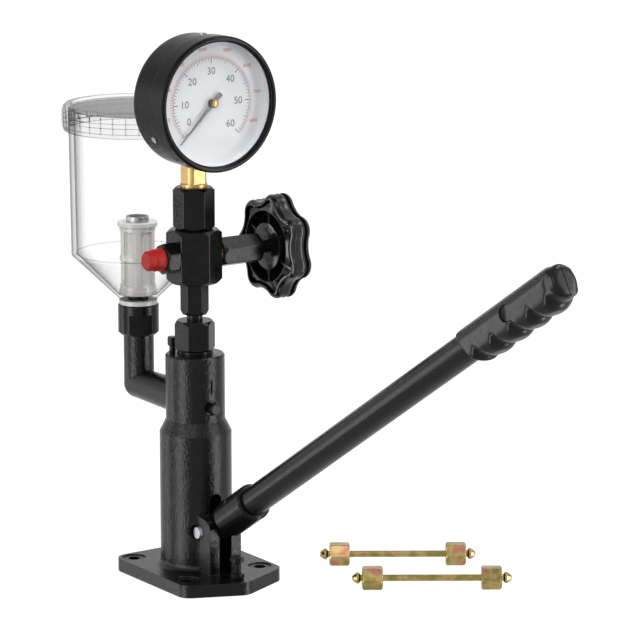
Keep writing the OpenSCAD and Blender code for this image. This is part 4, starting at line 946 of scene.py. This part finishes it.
class TESTER_OT_hub_cap(bpy.types.Operator):
    """Models the bright dome that holds the pointer"""

    bl_idname = "tester.hub_cap"
    bl_label = "Pointer hub cap"

    def execute(self, context):
        size = context.scene.tester_pieces
        radius, foot = size.hub_cap, size.hub_foot
        steps = 6
        rings = [(radius, 0.0), (radius, foot)]
        for i in range(1, steps + 1):
            a = math.pi / 2 * i / steps
            rings.append((radius * math.cos(a) + size.hub_flat, foot + size.hub_rise * math.sin(a)))
        cap = turned(rings, 40)
        bpy.ops.mesh.edge_face_add()
        close_skin(cap, math.radians(50))
        middle = centre("gauge_dial")
        overlap = 0.00005
        stand(cap, (middle.x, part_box("gauge_pointer")[0].y + overlap, middle.z), "X")
        finish_piece(cap, "pointer_hub_cap", "gauge_hand", "brass")
        return {"FINISHED"}


class TESTER_OT_cup_ridge(bpy.types.Operator):
    """Models the fine moulded ridge inside the cup, where its wall turns into the cone"""

    bl_idname = "tester.cup_ridge"
    bl_label = "Cup ridge"

    def execute(self, context):
        size = context.scene.tester_pieces
        middle = centre("reservoir_cup")
        ridge = hoop(size.ridge_radius, size.ridge_height, size.ridge)
        move_to(ridge, (middle.x, middle.y, 0.0))
        finish_piece(ridge, "cup_ridge", "tester", "clear_plastic", "ridge_plastic")
        return {"FINISHED"}


class TESTER_OT_lid_lines(bpy.types.Operator):
    """Models the fine lines on the screw lid's ribs and round its skirt"""

    bl_idname = "tester.lid_lines"
    bl_label = "Lid lines"

    def execute(self, context):
        size = context.scene.tester_pieces
        low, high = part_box("reservoir_cap")
        middle = centre("reservoir_cap")
        radius = (high.x - low.x) / 2.0
        start = low.z + size.lid_foot
        tall = high.z - size.lid_head - start
        wide = size.lid_rib
        first = bar((radius, 0.0, start + tall / 2.0), (wide * 0.6, wide, tall), wide * 0.2)
        pieces = around(first, size.lid_lines)
        for share in (0.0, 0.36, 0.64):
            pieces.append(hoop(radius - size.lid_skirt, start + tall * share, wide * 0.4))
        lines = join(pieces)
        move_to(lines, (middle.x, middle.y, 0.0))
        finish_piece(lines, "lid_lines", "fuel_lid", "clear_plastic", "line_plastic")
        return {"FINISHED"}


class TESTER_OT_stop_thread(bpy.types.Operator):
    """Models the thread that shows on the lever's stop screw"""

    bl_idname = "tester.stop_thread"
    bl_label = "Stop screw thread"

    def execute(self, context):
        size = context.scene.tester_pieces
        middle = centre("stop_nut")
        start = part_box("stop_nut")[1].z
        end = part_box("stop_screw")[1].z - size.thread_head
        pitch = size.thread_pitch
        turns = int((end - start) / pitch)
        shank = size.thread_shank
        root = shank - size.thread_root
        clear = 0.00002
        foot = shank + clear
        crest = shank + size.thread_crest
        rings = [(root, start)]
        for i in range(turns):
            at = start + i * pitch
            rings += [(foot, at + 0.10 * pitch), (crest, at + 0.45 * pitch),
                      (crest, at + 0.55 * pitch), (foot, at + 0.90 * pitch)]
        rings += [(root, start + turns * pitch), (root, start)]
        thread = turned(rings, 48)
        close_skin(thread, math.radians(35))
        move_to(thread, (middle.x, middle.y, 0.0))
        finish_piece(thread, "stop_screw_thread", "tester", "black_steel")
        return {"FINISHED"}


class TESTER_OT_springs(bpy.types.Operator):
    """Puts bright steel copies of the two springs in place of their solids"""

    bl_idname = "tester.springs"
    bl_label = "Springs"

    def coil(self, node, joint, travel):
        """A copy of the spring's solid in bright steel, in place of the solid; joint and travel are
        not used.
        """
        coil = copy_solid(node)
        finish_piece(coil, node + "_coil", "tester", "bright_steel")
        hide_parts(node)
        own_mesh(coil)

    def execute(self, context):
        size = context.scene.tester_pieces
        self.coil("plunger_spring", "plunger_slide", size.plunger_travel)
        self.coil("delivery_spring", "delivery_lift", size.ball_travel)
        return {"FINISHED"}


class TESTER_OT_stage(bpy.types.Operator):
    """Sets the pale floor, the soft lights and the camera"""

    bl_idname = "tester.stage"
    bl_label = "Stage"

    def white_rays(self, tree):
        """One for rays that see plain white: of the camera, reflected or through clear plastic."""
        link = tree.links.new
        path = add_node(tree, "ShaderNodeLightPath")
        rays = path.outputs["Is Camera Ray"]
        for kind in ("Is Glossy Ray", "Is Transmission Ray"):
            either = add_node(tree, "ShaderNodeMath", operation="MAXIMUM")
            link(rays, either.inputs[0])
            link(path.outputs[kind], either.inputs[1])
            rays = either.outputs["Value"]
        return rays

    def floor(self, settings):
        deselect()
        height = CAD_BOX[0][2] - settings.floor_gap
        bpy.ops.mesh.primitive_plane_add(size=settings.floor_size, location=(0.0, 0.0, height))
        floor = bpy.context.object
        floor.name = "floor"
        material = bpy.data.materials.new("floor_white")
        material.use_nodes = True
        tree = material.node_tree
        tree.nodes.clear()
        link = tree.links.new
        output = add_node(tree, "ShaderNodeOutputMaterial")
        matt = add_node(tree, "ShaderNodeBsdfDiffuse", {"Color": (*[settings.floor_matt] * 3, 1.0)})
        glow = add_node(tree, "ShaderNodeEmission", {"Color": (1.0, 1.0, 1.0, 1.0)})
        total = add_node(tree, "ShaderNodeAddShader")
        level = add_node(tree, "ShaderNodeMath", {1: settings.floor_white}, operation="MULTIPLY")
        link(self.white_rays(tree), level.inputs[0])
        link(level.outputs["Value"], glow.inputs["Strength"])
        link(matt.outputs["BSDF"], total.inputs[0])
        link(glow.outputs["Emission"], total.inputs[1])
        link(total.outputs["Shader"], output.inputs["Surface"])
        floor.data.materials.append(material)
        # The tall boxes reach past the floor, so upright glossy sides mirror them to the foot
        floor.visible_glossy = False
        floor.visible_shadow = False

    def surroundings(self, ambient):
        world = bpy.data.worlds.new("white_room")
        bpy.context.scene.world = world
        world.use_nodes = True
        tree = world.node_tree
        link = tree.links.new
        ground = tree.nodes["Background"]
        ground.inputs["Color"].default_value = (1.0, 1.0, 1.0, 1.0)
        level = add_node(tree, "ShaderNodeMapRange", {"To Min": ambient, "To Max": 1.0})
        link(self.white_rays(tree), level.inputs["Value"])
        link(level.outputs["Result"], ground.inputs["Strength"])

    def light_box(self, name, place, aim, wide, high, power, gloss_only=False):
        deselect()
        bpy.ops.object.light_add(type="AREA", location=place)
        lamp = bpy.context.object
        lamp.name = name
        lamp.data.shape = "RECTANGLE"
        lamp.data.size = wide
        lamp.data.size_y = high
        lamp.data.energy = power
        lamp.visible_camera = False
        lamp.visible_diffuse = not gloss_only
        lamp.rotation_euler = (Vector(aim) - Vector(place)).to_track_quat("-Z", "Y").to_euler()

    def execute(self, context):
        settings = context.scene.tester_stage
        deselect()
        bpy.ops.object.camera_add(location=settings.eye,
                                  rotation=(settings.pitch, 0.0, settings.heading))
        camera = bpy.context.object
        camera.data.lens = settings.lens
        camera.data.sensor_width = 36.0
        camera.data.clip_end = 100.0
        context.scene.camera = camera
        context.scene.view_settings.view_transform = "Standard"
        self.floor(settings)
        self.surroundings(settings.ambient)
        middle, foot = (0.0, 0.0, 0.25), (0.0, 0.0, 0.05)
        self.light_box("left_box", (-1.25, -0.10, 0.05), foot, 0.60, 1.9, settings.left, True)
        rear_aim = (0.0, -0.3, 0.0)
        self.light_box("rear_box", (-1.22, 1.25, 0.00), rear_aim, 0.40, 1.6, settings.rear, True)
        self.light_box("right_box", (0.80, -1.03, 0.05), foot, 0.30, 1.9, settings.right, True)
        self.light_box("top_box", (1.0, -0.6, 1.8), middle, 0.8, 0.8, settings.top)
        self.light_box("key_box", (-1.6, -1.5, 1.9), middle, 1.2, 1.2, settings.key)
        return {"FINISHED"}


class TESTER_PT_panel(bpy.types.Panel):
    """Lists the steps that dress the tester"""

    bl_label = "Injector tester"
    bl_idname = "TESTER_PT_panel"
    bl_space_type = "VIEW_3D"
    bl_region_type = "UI"
    bl_category = "Tester"

    def draw(self, context):
        for step in STEPS:
            self.layout.operator(step.bl_idname)


GROUPS = {
    "tester_colours": TesterColours,
    "tester_knob": KnobSizes,
    "tester_dial": DialSizes,
    "tester_pieces": PieceSizes,
    "tester_stage": StageSettings,
}
STEPS = [
    TESTER_OT_finishes,
    TESTER_OT_star_knob,
    TESTER_OT_grip,
    TESTER_OT_dial_print,
    TESTER_OT_dial_rim,
    TESTER_OT_hub_cap,
    TESTER_OT_cup_ridge,
    TESTER_OT_lid_lines,
    TESTER_OT_springs,
    TESTER_OT_stop_thread,
    TESTER_OT_stage,
]


def register():
    for name, group in GROUPS.items():
        bpy.utils.register_class(group)
        setattr(bpy.types.Scene, name, PointerProperty(type=group))
    for step in STEPS:
        bpy.utils.register_class(step)
    bpy.utils.register_class(TESTER_PT_panel)


def unregister():
    bpy.utils.unregister_class(TESTER_PT_panel)
    for step in reversed(STEPS):
        bpy.utils.unregister_class(step)
    for name, group in reversed(GROUPS.items()):
        delattr(bpy.types.Scene, name)
        bpy.utils.unregister_class(group)


def main():
    register()
    bpy.ops.tester.finishes()
    bpy.ops.tester.star_knob()
    bpy.ops.tester.grip()
    bpy.ops.tester.dial_print()
    bpy.ops.tester.dial_rim()
    bpy.ops.tester.hub_cap()
    bpy.ops.tester.cup_ridge()
    bpy.ops.tester.lid_lines()
    bpy.ops.tester.springs()
    bpy.ops.tester.stop_thread()
    bpy.ops.tester.stage()


if __name__ == "__main__":
    main()
